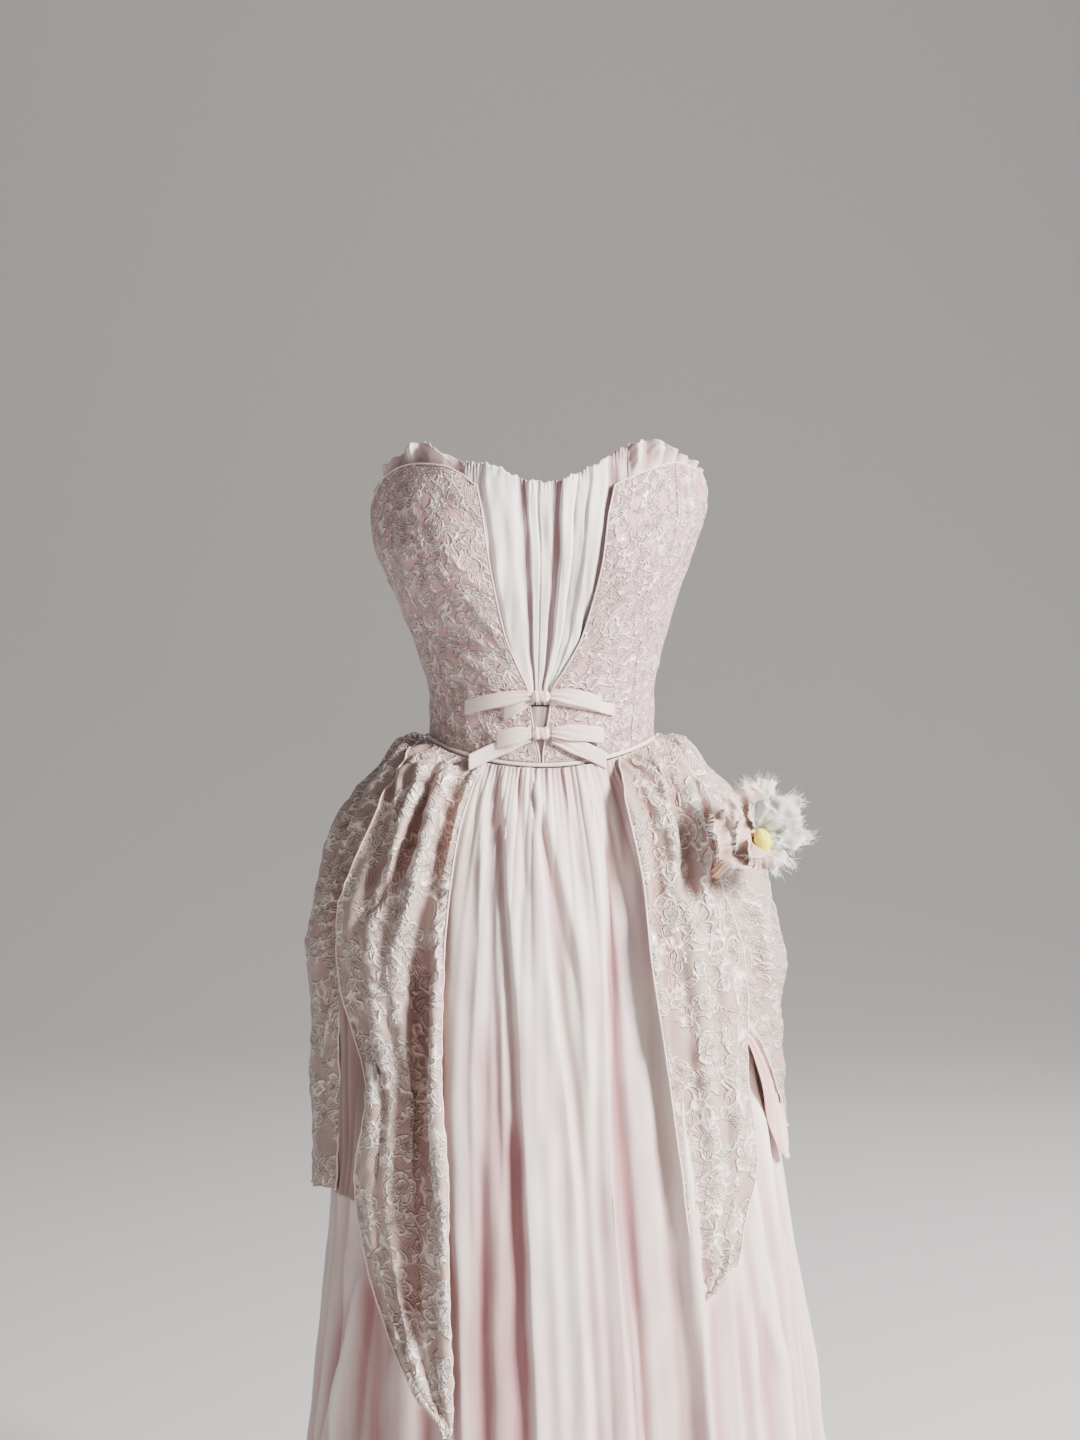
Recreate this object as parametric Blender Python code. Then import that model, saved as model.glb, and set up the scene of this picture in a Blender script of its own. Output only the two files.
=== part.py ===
"""A strapless full-length evening gown, filled out with no wearer.

A lace bodice opens in a V over a fan-pleated vestee and closes with two ribbon bows. A gathered
chiffon skirt hangs from the piped waist under four petal-shaped lace drapes, with a flower on one hip.

Metres, +Z up, front towards -Y, "right" is +X. The origin is the middle of the waist. An angle of 0 is
the centre front, +90 degrees is the +X side and 180 degrees is the centre back.
"""

import math
from collections import namedtuple

import bmesh
import bpy
from mathutils import Vector

Finish = namedtuple("Finish", "name colour roughness")
LACE = Finish("pink_lace", (0.72, 0.53, 0.55), 0.55)
CHIFFON = Finish("pale_chiffon", (0.80, 0.70, 0.67), 0.60)
RIBBON = Finish("pink_ribbon", (0.78, 0.60, 0.60), 0.45)
SATIN = Finish("grey_satin", (0.55, 0.48, 0.52), 0.40)
LINING = Finish("peach_lining", (0.70, 0.45, 0.40), 0.55)
ORGANZA = Finish("white_organza", (0.82, 0.80, 0.78), 0.60)
STEM = Finish("peach_base", (0.80, 0.52, 0.36), 0.60)
YELLOW = Finish("yellow_centre", (0.80, 0.78, 0.25), 0.60)

# Driving sizes of the cloth
WALL = 0.0012
FINE_WALL = 0.0010
SEAM_GAP = 0.0003
UNDERLAP = 0.0045  # how far the vestee lies behind the lace
STAY_TUCK = 0.0010  # how far the strip in the slot lies behind the lace
PIPING_RADIUS = 0.0018
CENTRE_FRONT_X = 0.001
HEM_HEIGHT = -1.040
SIDE_SEAM = 98.0  # degrees from the centre front
HALF_SEAM = math.degrees(SEAM_GAP / 2 / 0.075)  # half of a seam's gap, in degrees at the waist
PRINCESS_LEFT = -58.0
PRINCESS_RIGHT = 52.0
BODICE_ROWS = 9
BUST_TOP = 0.235  # level of the lace's top edge at which the seams meet it
WAIST_LEVEL = -0.010
PLACKET_TOP = 0.1675
PLACKET_HALF_ANGLE = 4.5

# Cups of the bust
CUP_ANGLE = 35.0
CUP_HEIGHT = 0.162
CUP_DEPTH = 0.015
CUP_SPREAD_ANGLE = 21.0
CUP_SPREAD_HEIGHT = 0.046

# Folds of the skirt
SKIRT_FOLDS = 60
SKIRT_ROWS = (0.0, 0.028, 0.07, 0.135, 0.22, 0.34, 0.50, 0.73, 1.0)

Section = namedtuple("Section", "height left right front back")
Edge = namedtuple("Edge", "angle height")
Opening = namedtuple("Opening", "height left right")
Depth = namedtuple("Depth", "fall depth")
Border = namedtuple("Border", "height near far")
StandOff = namedtuple("StandOff", "fall left right front back")

# Half-widths and half-depths of the body, from the waist up
BODY = (
    Section(-0.040, 0.1050, 0.1085, 0.0860, 0.0780),
    Section(-0.010, 0.1045, 0.1080, 0.0855, 0.0770),
    Section(0.028, 0.1045, 0.1080, 0.0870, 0.0775),
    Section(0.066, 0.1130, 0.1130, 0.0920, 0.0810),
    Section(0.104, 0.1265, 0.1230, 0.1000, 0.0870),
    Section(0.142, 0.1430, 0.1345, 0.1090, 0.0930),
    Section(0.180, 0.1580, 0.1485, 0.1130, 0.0950),
    Section(0.215, 0.1590, 0.1575, 0.1110, 0.0930),
    Section(0.275, 0.1500, 0.1570, 0.1040, 0.0880),
)

# Half-widths and half-depths of the skirt under its folds, from the hem up
SKIRT = (
    Section(HEM_HEIGHT, 0.2640, 0.3250, 0.2450, 0.3000),
    Section(-0.850, 0.2420, 0.2990, 0.2260, 0.2760),
    Section(-0.690, 0.2225, 0.2740, 0.2120, 0.2570),
    Section(-0.613, 0.2145, 0.2640, 0.2050, 0.2480),
    Section(-0.455, 0.1990, 0.2375, 0.1920, 0.2280),
    Section(-0.300, 0.1890, 0.2080, 0.1750, 0.2050),
    Section(-0.200, 0.1800, 0.1880, 0.1580, 0.1820),
    Section(-0.120, 0.1590, 0.1640, 0.1350, 0.1500),
    Section(-0.050, 0.1270, 0.1290, 0.1040, 0.1060),
    Section(-0.010, 0.1054, 0.1089, 0.0864, 0.0779),
    Section(0.010, 0.1050, 0.1085, 0.0862, 0.0776),
)

DRAPE_TOP = 0.0034  # how far under the waist seam the drapes start
# How far the drapes stand off the skirt, by their fall from the waist seam
PANNIER = (
    StandOff(DRAPE_TOP, 0.0026, 0.0026, 0.0022, 0.0027),
    StandOff(0.010, 0.0160, 0.0170, 0.0060, 0.0120),
    StandOff(0.026, 0.0310, 0.0350, 0.0085, 0.0210),
    StandOff(0.050, 0.0400, 0.0430, 0.0110, 0.0290),
    StandOff(0.085, 0.0410, 0.0430, 0.0120, 0.0310),
    StandOff(0.125, 0.0400, 0.0410, 0.0130, 0.0310),
    StandOff(0.200, 0.0340, 0.0350, 0.0130, 0.0260),
    StandOff(0.280, 0.0240, 0.0210, 0.0130, 0.0210),
    StandOff(0.390, 0.0170, 0.0125, 0.0130, 0.0180),
    StandOff(0.650, 0.0150, 0.0140, 0.0130, 0.0160),
)

# Top edge of the lace, round the body
LACE_TOP = (
    Edge(-180, 0.168),
    Edge(-135, 0.172),
    Edge(-108, 0.190),
    Edge(-90, 0.206),
    Edge(-74, 0.228),
    Edge(-58, 0.247),
    Edge(-46, 0.2505),
    Edge(-34, 0.248),
    Edge(-27, 0.241),
    Edge(-21, 0.230),
    Edge(0, 0.226),
    Edge(22, 0.226),
    Edge(28, 0.234),
    Edge(38, 0.244),
    Edge(52, 0.2515),
    Edge(66, 0.246),
    Edge(82, 0.232),
    Edge(98, 0.206),
    Edge(130, 0.176),
    Edge(180, 0.168),
)

# Top edge of the vestee and of the frills on each side of it
FRILL_TOP = (
    Edge(-96, 0.204),
    Edge(-84, 0.220),
    Edge(-72, 0.244),
    Edge(-58, 0.263),
    Edge(-46, 0.2700),
    Edge(-36, 0.2600),
    Edge(-27, 0.2515),
    Edge(-18, 0.2500),
    Edge(-4, 0.2350),
    Edge(3, 0.2335),
    Edge(13, 0.2420),
    Edge(22, 0.2540),
    Edge(29, 0.2640),
    Edge(38, 0.2715),
    Edge(45, 0.2705),
    Edge(56, 0.2600),
    Edge(68, 0.2530),
    Edge(86, 0.2340),
    Edge(98, 0.2100),
)

# Front edges of the lace: half-openings of the V and of the slot under it
FRONT_OPENING = (
    Opening(-0.040, 0.0012, 0.0012),
    Opening(-0.018, 0.0016, 0.0016),
    Opening(0.000, 0.0055, 0.0040),
    Opening(0.035, 0.0110, 0.0095),
    Opening(0.045, 0.0125, 0.0110),
    Opening(0.063, 0.0205, 0.0220),
    Opening(0.096, 0.0335, 0.0385),
    Opening(0.150, 0.0435, 0.0505),
    Opening(0.200, 0.0515, 0.0590),
    Opening(0.250, 0.0600, 0.0690),
)

# Borders of the front drapes, near and far from the centre front, by height
FRONT_LEFT_BORDER = (
    Border(-0.612, -20.3, -21.6),
    Border(-0.580, -20.8, -28.5),
    Border(-0.530, -21.4, -38.0),
    Border(-0.470, -22.0, -45.5),
    Border(-0.400, -23.0, -50.5),
    Border(-0.330, -25.6, -47.0),
    Border(-0.250, -25.8, -56.0),
    Border(-0.160, -26.5, -61.0),
    Border(-0.080, -27.3, -58.5),
    Border(-0.030, -27.0, -64.0),
    Border(-0.010, -37.0, -77.0),
)
FRONT_RIGHT_BORDER = (
    Border(-0.494, 35.0, 36.8),
    Border(-0.473, 33.6, 43.5),
    Border(-0.440, 32.6, 47.0),
    Border(-0.376, 32.0, 54.4),
    Border(-0.300, 31.0, 56.0),
    Border(-0.190, 29.0, 57.0),
    Border(-0.122, 30.0, 54.0),
    Border(-0.085, 30.6, 60.5),
    Border(-0.058, 31.4, 63.0),
    Border(-0.030, 36.0, 66.0),
    Border(-0.010, 44.0, 77.0),
)
# Front edges of the side drapes, and the centre back
SIDE_LEFT_BORDER = (
    Border(-0.600, -66.0, -179.4),
    Border(-0.430, -63.0, -179.4),
    Border(-0.300, -62.0, -179.4),
    Border(-0.190, -58.0, -179.4),
    Border(-0.100, -53.0, -179.4),
    Border(-0.030, -57.0, -179.4),
    Border(0.000, -78.0, -179.4),
)
SIDE_RIGHT_BORDER = (
    Border(-0.600, 96.0, 179.4),
    Border(-0.365, 84.0, 179.4),
    Border(-0.330, 75.0, 179.4),
    Border(-0.287, 65.5, 179.4),
    Border(-0.245, 57.0, 179.4),
    Border(-0.190, 52.0, 179.4),
    Border(-0.110, 48.0, 179.4),
    Border(-0.030, 57.0, 179.4),
    Border(0.000, 78.0, 179.4),
)
# Borders of the linings where they show past the lace
LINING_SIDE_LEFT_BORDER = (
    Border(-0.424, -52.0, -68.0),
    Border(-0.380, -47.0, -69.0),
    Border(-0.300, -45.0, -68.0),
    Border(-0.150, -48.0, -62.0),
)
LINING_SIDE_RIGHT_BORDER = (
    Border(-0.404, 77.0, 80.5),
    Border(-0.380, 72.0, 86.0),
    Border(-0.340, 67.5, 90.0),
    Border(-0.287, 61.5, 80.0),
    Border(-0.235, 52.0, 66.0),
)
LINING_FRONT_RIGHT_BORDER = (
    Border(-0.511, 33.2, 34.6),
    Border(-0.490, 32.9, 39.5),
    Border(-0.455, 32.9, 44.5),
    Border(-0.400, 34.0, 46.0),
)

# Lower edges of the side drapes, as a share of their width from the front edge
LowerEdge = namedtuple("LowerEdge", "share height")
SIDE_LEFT_LOWER = (
    LowerEdge(0.00, -0.420),
    LowerEdge(0.18, -0.434),
    LowerEdge(0.36, -0.450),
    LowerEdge(0.62, -0.560),
    LowerEdge(0.82, -0.450),
    LowerEdge(1.00, -0.340),
)
SIDE_RIGHT_LOWER = (
    LowerEdge(0.00, -0.365),
    LowerEdge(0.12, -0.388),
    LowerEdge(0.28, -0.420),
    LowerEdge(0.52, -0.550),
    LowerEdge(0.76, -0.450),
    LowerEdge(1.00, -0.340),
)

# Depth of the skirt's folds, by fall from the waist
SKIRT_FOLD_DEPTH = (
    Depth(0.00, 0.0010),
    Depth(0.05, 0.0022),
    Depth(0.20, 0.0034),
    Depth(0.50, 0.0048),
    Depth(1.00, 0.0068),
)
# Depth of the drapes' folds, by fall from the waist
DRAPE_FOLD_DEPTH = (
    Depth(0.000, 0.0010),
    Depth(0.030, 0.0050),
    Depth(0.100, 0.0085),
    Depth(0.250, 0.0085),
    Depth(0.620, 0.0060),
)

# Long folds that stand out in the chiffon between the front drapes: their angle, depth and spread
MainFold = namedtuple("MainFold", "angle hem_angle depth spread")
MAIN_FOLDS = (
    MainFold(-17.0, -15.0, 0.0040, 3.4),
    MainFold(-9.0, -6.0, -0.0075, 2.6),
    MainFold(-1.0, 2.0, 0.0045, 3.6),
    MainFold(6.5, 10.0, 0.0050, 2.4),
    MainFold(13.5, 14.5, -0.0065, 2.2),
    MainFold(20.0, 19.5, 0.0045, 2.8),
    MainFold(29.0, 31.0, -0.0055, 2.4),
)


def smooth_value(rows, column, place):
    """A column's value at a place in the rows' first column, on a smooth curve through the rows."""
    places = [row[0] for row in rows]
    values = [getattr(row, column) for row in rows]
    place = min(max(place, places[0]), places[-1])
    last = len(rows) - 2
    index = next((i for i in range(last + 1) if place <= places[i + 1]), last)
    step = places[index + 1] - places[index]

    def slope(i):
        if i == 0 or i == len(rows) - 1:
            return 0.0
        before = (values[i] - values[i - 1]) / (places[i] - places[i - 1])
        after = (values[i + 1] - values[i]) / (places[i + 1] - places[i])
        if before * after <= 0:
            return 0.0
        return 2 * before * after / (before + after)

    share = (place - places[index]) / step
    square, cube = share * share, share ** 3
    return (
        values[index] * (2 * cube - 3 * square + 1)
        + values[index + 1] * (3 * square - 2 * cube)
        + slope(index) * step * (cube - 2 * square + share)
        + slope(index + 1) * step * (cube - square)
    )


def mix(first, second, share):
    """The value a share of the way from the first to the second."""
    return first + (second - first) * share


def swell(share):
    """A smooth rise from 0 to 1."""
    share = min(max(share, 0.0), 1.0)
    return share * share * (3 - 2 * share)


def hump(offset, spread):
    """A bell-shaped hump of height 1."""
    return math.exp(-((offset / spread) ** 2))


def oval_point(rows, angle, height, out=0.0):
    """A point of a stack of ovals given by rows of sections, moved out level by a distance."""
    turn = math.radians(angle)
    across, ahead = math.sin(turn), math.cos(turn)
    width = smooth_value(rows, "left" if across < 0 else "right", height)
    depth = smooth_value(rows, "front" if ahead > 0 else "back", height)
    outward = Vector((across / width, -ahead / depth, 0)).normalized()
    return Vector((width * across, -depth * ahead, height)) + outward * out


def cup_depth(angle, height):
    """How far a cup stands out of the oval body."""
    return CUP_DEPTH * hump(abs(angle) - CUP_ANGLE, CUP_SPREAD_ANGLE) * hump(
        height - CUP_HEIGHT, CUP_SPREAD_HEIGHT
    )


def body_point(angle, height, out=0.0):
    """A point on the bodice's outer face, moved out by a distance."""
    return oval_point(BODY, angle, height, out + cup_depth(angle, height))


def angle_at(x, height):
    """The angle at which the front of the body has this x."""
    width = smooth_value(BODY, "left" if x < 0 else "right", height)
    return math.degrees(math.asin(min(max(x / width, -1), 1)))


def waist_height(angle):
    """Height of the waist seam, which dips at the centre front."""
    ahead = math.cos(math.radians(angle))
    return -0.0065 - 0.0190 * max(ahead, 0.0) ** 2 + 0.004 * max(-ahead, 0.0)


def gather_shift(angle):
    """Degrees by which the gathers at an angle are out of their even spacing."""
    turn = math.radians(angle)
    return 1.5 * math.sin(5 * turn + 0.4) + 0.8 * math.sin(11 * turn + 2.0)


def uneven_angle(phase, count):
    """The angle of a fold's phase, in half folds, where the folds are unevenly spaced."""
    angle = 180.0 * phase / count
    for _ in range(6):
        angle = 180.0 * phase / count - gather_shift(angle)
    return angle


def gather_wave(angle, count):
    """The uneven gathers at an angle, from -1 in a trough to 1 on a ridge."""
    strength = 0.78 + 0.22 * math.sin(7 * math.radians(angle) + 1.1)
    return strength * math.cos(math.radians((angle + gather_shift(angle)) * count))


def skirt_point(angle, fall, out=0.0):
    """A point on the skirt's outer face. fall runs from 0 at the waist to 1 at the hem."""
    top = waist_height(angle) - PIPING_RADIUS - SEAM_GAP
    height = mix(top, HEM_HEIGHT, fall)
    ridge = smooth_value(SKIRT_FOLD_DEPTH, "depth", fall) * gather_wave(angle, SKIRT_FOLDS)
    for fold in MAIN_FOLDS:
        middle = mix(fold.angle, fold.hem_angle, fall)
        ridge += fold.depth * swell(fall / 0.3) * hump(angle - middle, fold.spread)
    return oval_point(SKIRT, angle, height, ridge + out)


def drape_fold(share, folds, phase):
    """A drape's rounded folds across its width, from 0 to 1."""
    uneven = share + 0.025 * math.sin(9.0 * share + phase)
    return 0.5 - 0.5 * math.cos(2 * math.pi * (folds * uneven + phase))


def drape_point(drape, share, height, out=0.0):
    """A point on a drape's outer face, at a share of its width and a height."""
    near = smooth_value(drape.border, "near", height)
    far = smooth_value(drape.border, "far", height)
    angle = mix(near, far, share)
    fall = max(waist_height(angle) - height, 0.0)
    turn = math.radians(angle)
    across, ahead = math.sin(turn), math.cos(turn)
    side = smooth_value(PANNIER, "left" if across < 0 else "right", fall)
    face = smooth_value(PANNIER, "front" if ahead > 0 else "back", fall)
    stand = side * across * across + face * ahead * ahead
    depth = drape.depth * smooth_value(DRAPE_FOLD_DEPTH, "depth", fall)
    depth *= mix(drape.near_depth, 1.0, swell(share / 0.22))
    stand += depth * drape_fold(share, drape.folds, drape.phase)
    over = drape.over * swell((share - 0.2) / 0.5)
    puff = drape.puff * mix(drape.near_puff, 1.0, swell(share / 0.25))
    lift = puff * hump(fall - 0.016, 0.0065) * across * across
    lift += over * hump(fall, 0.05)
    return oval_point(SKIRT, angle, height, stand + over + out) + Vector((0, 0, lift))


Drape = namedtuple("Drape", "name border lower folds phase depth near_depth over puff near_puff")
DRAPES = (
    Drape("drape_front_left", FRONT_LEFT_BORDER, None, 4.0, 0.10, 1.0, 1.0, 0.0046, 0.004, 1.0),
    Drape("drape_front_right", FRONT_RIGHT_BORDER, None, 3.0, 0.30, 1.0, 1.0, 0.0046, 0.004, 1.0),
    Drape("drape_side_left", SIDE_LEFT_BORDER, SIDE_LEFT_LOWER, 9.0, 0.05, 1.0, 0.10, 0.0, 0.014, 0.2),
    Drape("drape_side_right", SIDE_RIGHT_BORDER, SIDE_RIGHT_LOWER, 9.0, 0.05, 1.0, 0.10, 0.0, 0.014, 0.2),
)
LININGS = (
    Drape("lining_side_left", LINING_SIDE_LEFT_BORDER, None, 2.0, 0.0, 0.10, 1.0, 0.0, 0.0, 0.0),
    Drape("lining_side_right", LINING_SIDE_RIGHT_BORDER, None, 2.0, 0.0, 0.10, 1.0, 0.0, 0.0, 0.0),
    Drape("lining_front_right", LINING_FRONT_RIGHT_BORDER, None, 1.0, 0.0, 0.10, 1.0, 0.0010, 0.0, 0.0),
)
LINING_TUCK = 0.0030  # how far a lining's outer face lies behind the lace's
DRAPE_ROW_POWER = 1.35  # sets a drape's rows closer together near the waist


def clear_scene():
    """Empties the scene that the script starts in."""
    for thing in list(bpy.data.objects):
        bpy.data.objects.remove(thing, do_unlink=True)


def cloth_material(piece, finish):
    """A piece's own material in a plain cloth finish."""
    material = bpy.data.materials.new(f"{piece}_{finish.name}")
    material.use_nodes = True
    shader = material.node_tree.nodes["Principled BSDF"]
    shader.inputs["Base Color"].default_value = (*finish.colour, 1.0)
    shader.inputs["Roughness"].default_value = finish.roughness
    shader.inputs["Metallic"].default_value = 0.0
    return material


def add_object(name, bm, finish):
    """Makes an object of a bmesh and shades it smooth."""
    mesh = bpy.data.meshes.new(name)
    bm.to_mesh(mesh)
    bm.free()
    mesh.materials.append(cloth_material(name, finish))
    mesh.shade_smooth()
    made = bpy.data.objects.new(name, mesh)
    bpy.context.collection.objects.link(made)
    return made


def sheet(name, grid, finish, wall=WALL):
    """A cloth wall whose outer face runs through a grid of points, thickened square to the cloth.

    The rows run up, and along each row the points run towards +angle, so the faces point outwards.
    """
    bm = bmesh.new()
    rows = [[bm.verts.new(point) for point in row] for row in grid]
    for low, high in zip(rows, rows[1:]):
        for i in range(len(low) - 1):
            bm.faces.new((low[i], low[i + 1], high[i + 1], high[i]))
    made = add_object(name, bm, finish)
    solidify = made.modifiers.new("wall", "SOLIDIFY")
    solidify.thickness = wall
    solidify.offset = -1.0
    return made


def panel(name, columns, rows, place, finish, wall=WALL):
    """A cloth wall whose two faces both follow the body, so that its edges lie square to the seams.

    place(column, row, out) gives a point. The rows run up and the columns towards +angle.
    """
    bm = bmesh.new()
    outer, inner = [
        [[bm.verts.new(place(column, row, out)) for column in columns] for row in rows]
        for out in (0.0, -wall)
    ]
    for k in range(len(rows) - 1):
        for i in range(len(columns) - 1):
            bm.faces.new((outer[k][i], outer[k][i + 1], outer[k + 1][i + 1], outer[k + 1][i]))
            bm.faces.new((inner[k][i], inner[k + 1][i], inner[k + 1][i + 1], inner[k][i + 1]))
    for k in range(len(rows) - 1):
        bm.faces.new((outer[k][0], outer[k + 1][0], inner[k + 1][0], inner[k][0]))
        bm.faces.new((outer[k][-1], inner[k][-1], inner[k + 1][-1], outer[k + 1][-1]))
    for i in range(len(columns) - 1):
        bm.faces.new((outer[0][i], inner[0][i], inner[0][i + 1], outer[0][i + 1]))
        bm.faces.new((outer[-1][i], outer[-1][i + 1], inner[-1][i + 1], inner[-1][i]))
    return add_object(name, bm, finish)


def steps(count):
    """Shares from 0 to 1 in equal steps."""
    return [i / count for i in range(count + 1)]


def bodice_panel(name, near, far, columns):
    """A lace panel between two seams. near and far give a seam's angle at a height."""

    def place(share, up, out):
        top = smooth_value(LACE_TOP, "height", mix(near(BUST_TOP), far(BUST_TOP), share))
        bottom = waist_height(mix(near(WAIST_LEVEL), far(WAIST_LEVEL), share)) + PIPING_RADIUS + SEAM_GAP
        height = mix(bottom, top, up)
        return body_point(mix(near(height), far(height), share), height, out)

    panel(name, steps(columns), steps(BODICE_ROWS), place, LACE)


def front_edge(side):
    """The angle of the V's edge on one side at a height: side is -1 or 1."""
    column = "left" if side < 0 else "right"

    def edge(height):
        x = CENTRE_FRONT_X + side * smooth_value(FRONT_OPENING, column, height)
        return angle_at(x, height)

    return edge


def seam(angle, side=0):
    """A straight seam's angle at any height, with half of the seam's gap on one side."""
    shift = side * HALF_SEAM
    return lambda height: angle + shift


def build_bodice():
    """The six lace panels and the lapped placket of the centre back."""
    bodice_panel("bodice_front_left", seam(PRINCESS_LEFT, 1), front_edge(-1), 6)
    bodice_panel("bodice_front_right", front_edge(1), seam(PRINCESS_RIGHT, -1), 6)
    bodice_panel("bodice_side_left", seam(-SIDE_SEAM, 1), seam(PRINCESS_LEFT, -1), 5)
    bodice_panel("bodice_side_right", seam(PRINCESS_RIGHT, 1), seam(SIDE_SEAM, -1), 5)
    bodice_panel("bodice_back_left", seam(-180, 1), seam(-SIDE_SEAM, -1), 6)
    bodice_panel("bodice_back_right", seam(SIDE_SEAM, 1), seam(180, -1), 6)

    def placket(angle, up, out):
        height = mix(waist_height(180) + PIPING_RADIUS + SEAM_GAP, PLACKET_TOP, up)
        return body_point(angle, height, WALL + SEAM_GAP + out)

    angles = (180 - PLACKET_HALF_ANGLE, 180, 180 + PLACKET_HALF_ANGLE)
    panel("back_placket", angles, steps(BODICE_ROWS), placket, LACE)


VESTEE_TOP = 0.235
VESTEE_DEPTH = 0.0017
FRILL_TUCK = 0.010  # how far the frill's lower edge lies under the lace's top edge
FRILL_LEAST = 0.0015  # the least that it stands up over the lace
FRILL_RISE = 0.016  # how far over the lace its waves are full
FRILL_ROOT_WAVE = 0.0009
FRILL_WAVE = 0.0034
FRILL_LEAN = 0.0022
FRILL_BEHIND = 0.0036
FRILL_START = 5.6  # degrees between the lace's front corner and the frill's front edge
# Widths of the vestee's pleats across its top, from left to right
VESTEE_PLEATS = (0.9, 1.1, 2.0, 0.8, 0.9, 1.2, 0.9, 1.1, 0.8, 1.7, 1.0, 0.9)


def vestee_sides(height):
    """The angles of the vestee's two sides, which lie behind the lace."""
    tuck = 5.0 if height > 0.06 else 4.0
    return front_edge(-1)(height) - tuck, front_edge(1)(height) + tuck


def build_vestee():
    """The pleated chiffon in the V and the satin strip that shows in the slot under it."""
    total = sum(VESTEE_PLEATS)
    folds = []
    passed = 0.0
    for width in VESTEE_PLEATS:
        folds.append((passed / total, -1.0))
        folds.append(((passed + 0.5 * width) / total, 1.0))
        passed += width
    folds.append((1.0, -1.0))

    def pleated(fold, level, out):
        share, ridge = fold
        near, far = vestee_sides(min(level, VESTEE_TOP))
        angle = mix(near, far, share)
        height = smooth_value(FRILL_TOP, "height", angle) if level > VESTEE_TOP else level
        strength = mix(0.45, 1.0, swell((height - 0.03) / 0.05))
        return body_point(angle, height, -UNDERLAP + VESTEE_DEPTH * strength * ridge + out)

    levels = (0.030, 0.050, 0.075, 0.105, 0.140, 0.180, 0.212, 1.0)
    panel("vestee", folds, levels, pleated, CHIFFON, FINE_WALL)

    def stay(angle, height, out):
        return body_point(angle, height, -WALL - STAY_TUCK + out)

    panel("front_stay", (-11, -7, -2, 2, 7, 11), (-0.0195, -0.003, 0.013, 0.0285), stay, SATIN)


def build_frill(name, near_angle, far_angle, waves, phase):
    """A sheer frill that stands up out of the lace's top edge and leans out in waves."""

    def place(share, level, out):
        angle = mix(near_angle, far_angle, share)
        lace_top = smooth_value(LACE_TOP, "height", angle)
        high = max(smooth_value(FRILL_TOP, "height", angle), lace_top + FRILL_LEAST)
        height = mix(lace_top - FRILL_TUCK, high, level)
        free = swell((height - lace_top) / FRILL_RISE)
        wave = math.cos(2 * math.pi * (waves * share + phase))
        stand = wave * mix(FRILL_ROOT_WAVE, FRILL_WAVE, free) + FRILL_LEAN * free - FRILL_BEHIND
        return body_point(angle, height, stand + out)

    panel(name, steps(waves * 4), (0.0, 0.45, 1.0), place, CHIFFON, FINE_WALL)


def build_piping():
    """The piping round the waist seam, as one closed ring."""
    count = 48
    points = [body_point(360 * i / count, waist_height(360 * i / count), -WALL / 2) for i in range(count)]
    curve = bpy.data.curves.new("waist_piping", "CURVE")
    curve.dimensions = "3D"
    curve.bevel_depth = PIPING_RADIUS - 0.0001
    curve.bevel_resolution = 1
    spline = curve.splines.new("POLY")
    spline.points.add(count - 1)
    for place, point in zip(spline.points, points):
        place.co = (*point, 1.0)
    spline.use_cyclic_u = True
    curve.materials.append(cloth_material("waist_piping", RIBBON))
    made = bpy.data.objects.new("waist_piping", curve)
    bpy.context.collection.objects.link(made)


# Ribbon ends of the bows: places are x and height of the ribbon's middle, and its distance off the lace
Place = namedtuple("Place", "x height")
Ribbon = namedtuple("Ribbon", "name start middle end width lift flare")
BOW_RIBBONS = (
    Ribbon(
        "bow_upper_tail_left",
        Place(-0.0082, 0.0385), Place(-0.0380, 0.0345), Place(-0.0670, 0.0265), 0.0138, 0.0030, 0.0,
    ),
    Ribbon(
        "bow_upper_end_left",
        Place(-0.0085, 0.0345), Place(-0.0200, 0.0290), Place(-0.0330, 0.0225), 0.0136, 0.0003, 0.0,
    ),
    Ribbon(
        "bow_upper_tail_right",
        Place(0.0093, 0.0385), Place(0.0310, 0.0370), Place(0.0545, 0.0300), 0.0150, 0.0030, 0.0,
    ),
    Ribbon(
        "bow_upper_end_right",
        Place(0.0095, 0.0345), Place(0.0360, 0.0320), Place(0.0680, 0.0240), 0.0110, 0.0003, 0.0,
    ),
    Ribbon(
        "bow_lower_tail_left",
        Place(-0.0075, 0.0050), Place(-0.0220, 0.0025), Place(-0.0365, -0.0015), 0.0158, 0.0085, 0.0,
    ),
    Ribbon(
        "bow_lower_end_left",
        Place(-0.0083, 0.0000), Place(-0.0330, -0.0085), Place(-0.0560, -0.0225), 0.0150, 0.0016, 0.0172,
    ),
    Ribbon(
        "bow_lower_tail_right",
        Place(0.0097, 0.0055), Place(0.0320, 0.0050), Place(0.0560, 0.0015), 0.0150, 0.0052, 0.0,
    ),
    Ribbon(
        "bow_lower_end_right",
        Place(0.0103, -0.0010), Place(0.0340, -0.0090), Place(0.0570, -0.0215), 0.0158, 0.0016, 0.0060,
    ),
)
Knot = namedtuple("Knot", "name x height width tall")
BOW_KNOTS = (
    Knot("bow_upper_knot", 0.0005, 0.0385, 0.0180, 0.0118),
    Knot("bow_lower_knot", 0.0010, 0.0045, 0.0180, 0.0122),
)
RIBBON_WALL = 0.0010
RIBBON_ARCH = 0.0016  # how far a ribbon's middle rises over its ends
RIBBON_CROWN = 0.0006  # how far its middle rises over its edges
RIBBON_PINCH = 0.62  # its width at the knot, as a share of its full width
KNOT_LIFT = 0.0036
KNOT_DEPTH = 0.0038


def on_lace(x, height, out):
    """A point off the bodice's front face at this x and height."""
    return body_point(angle_at(x, height), height, out)


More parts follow.
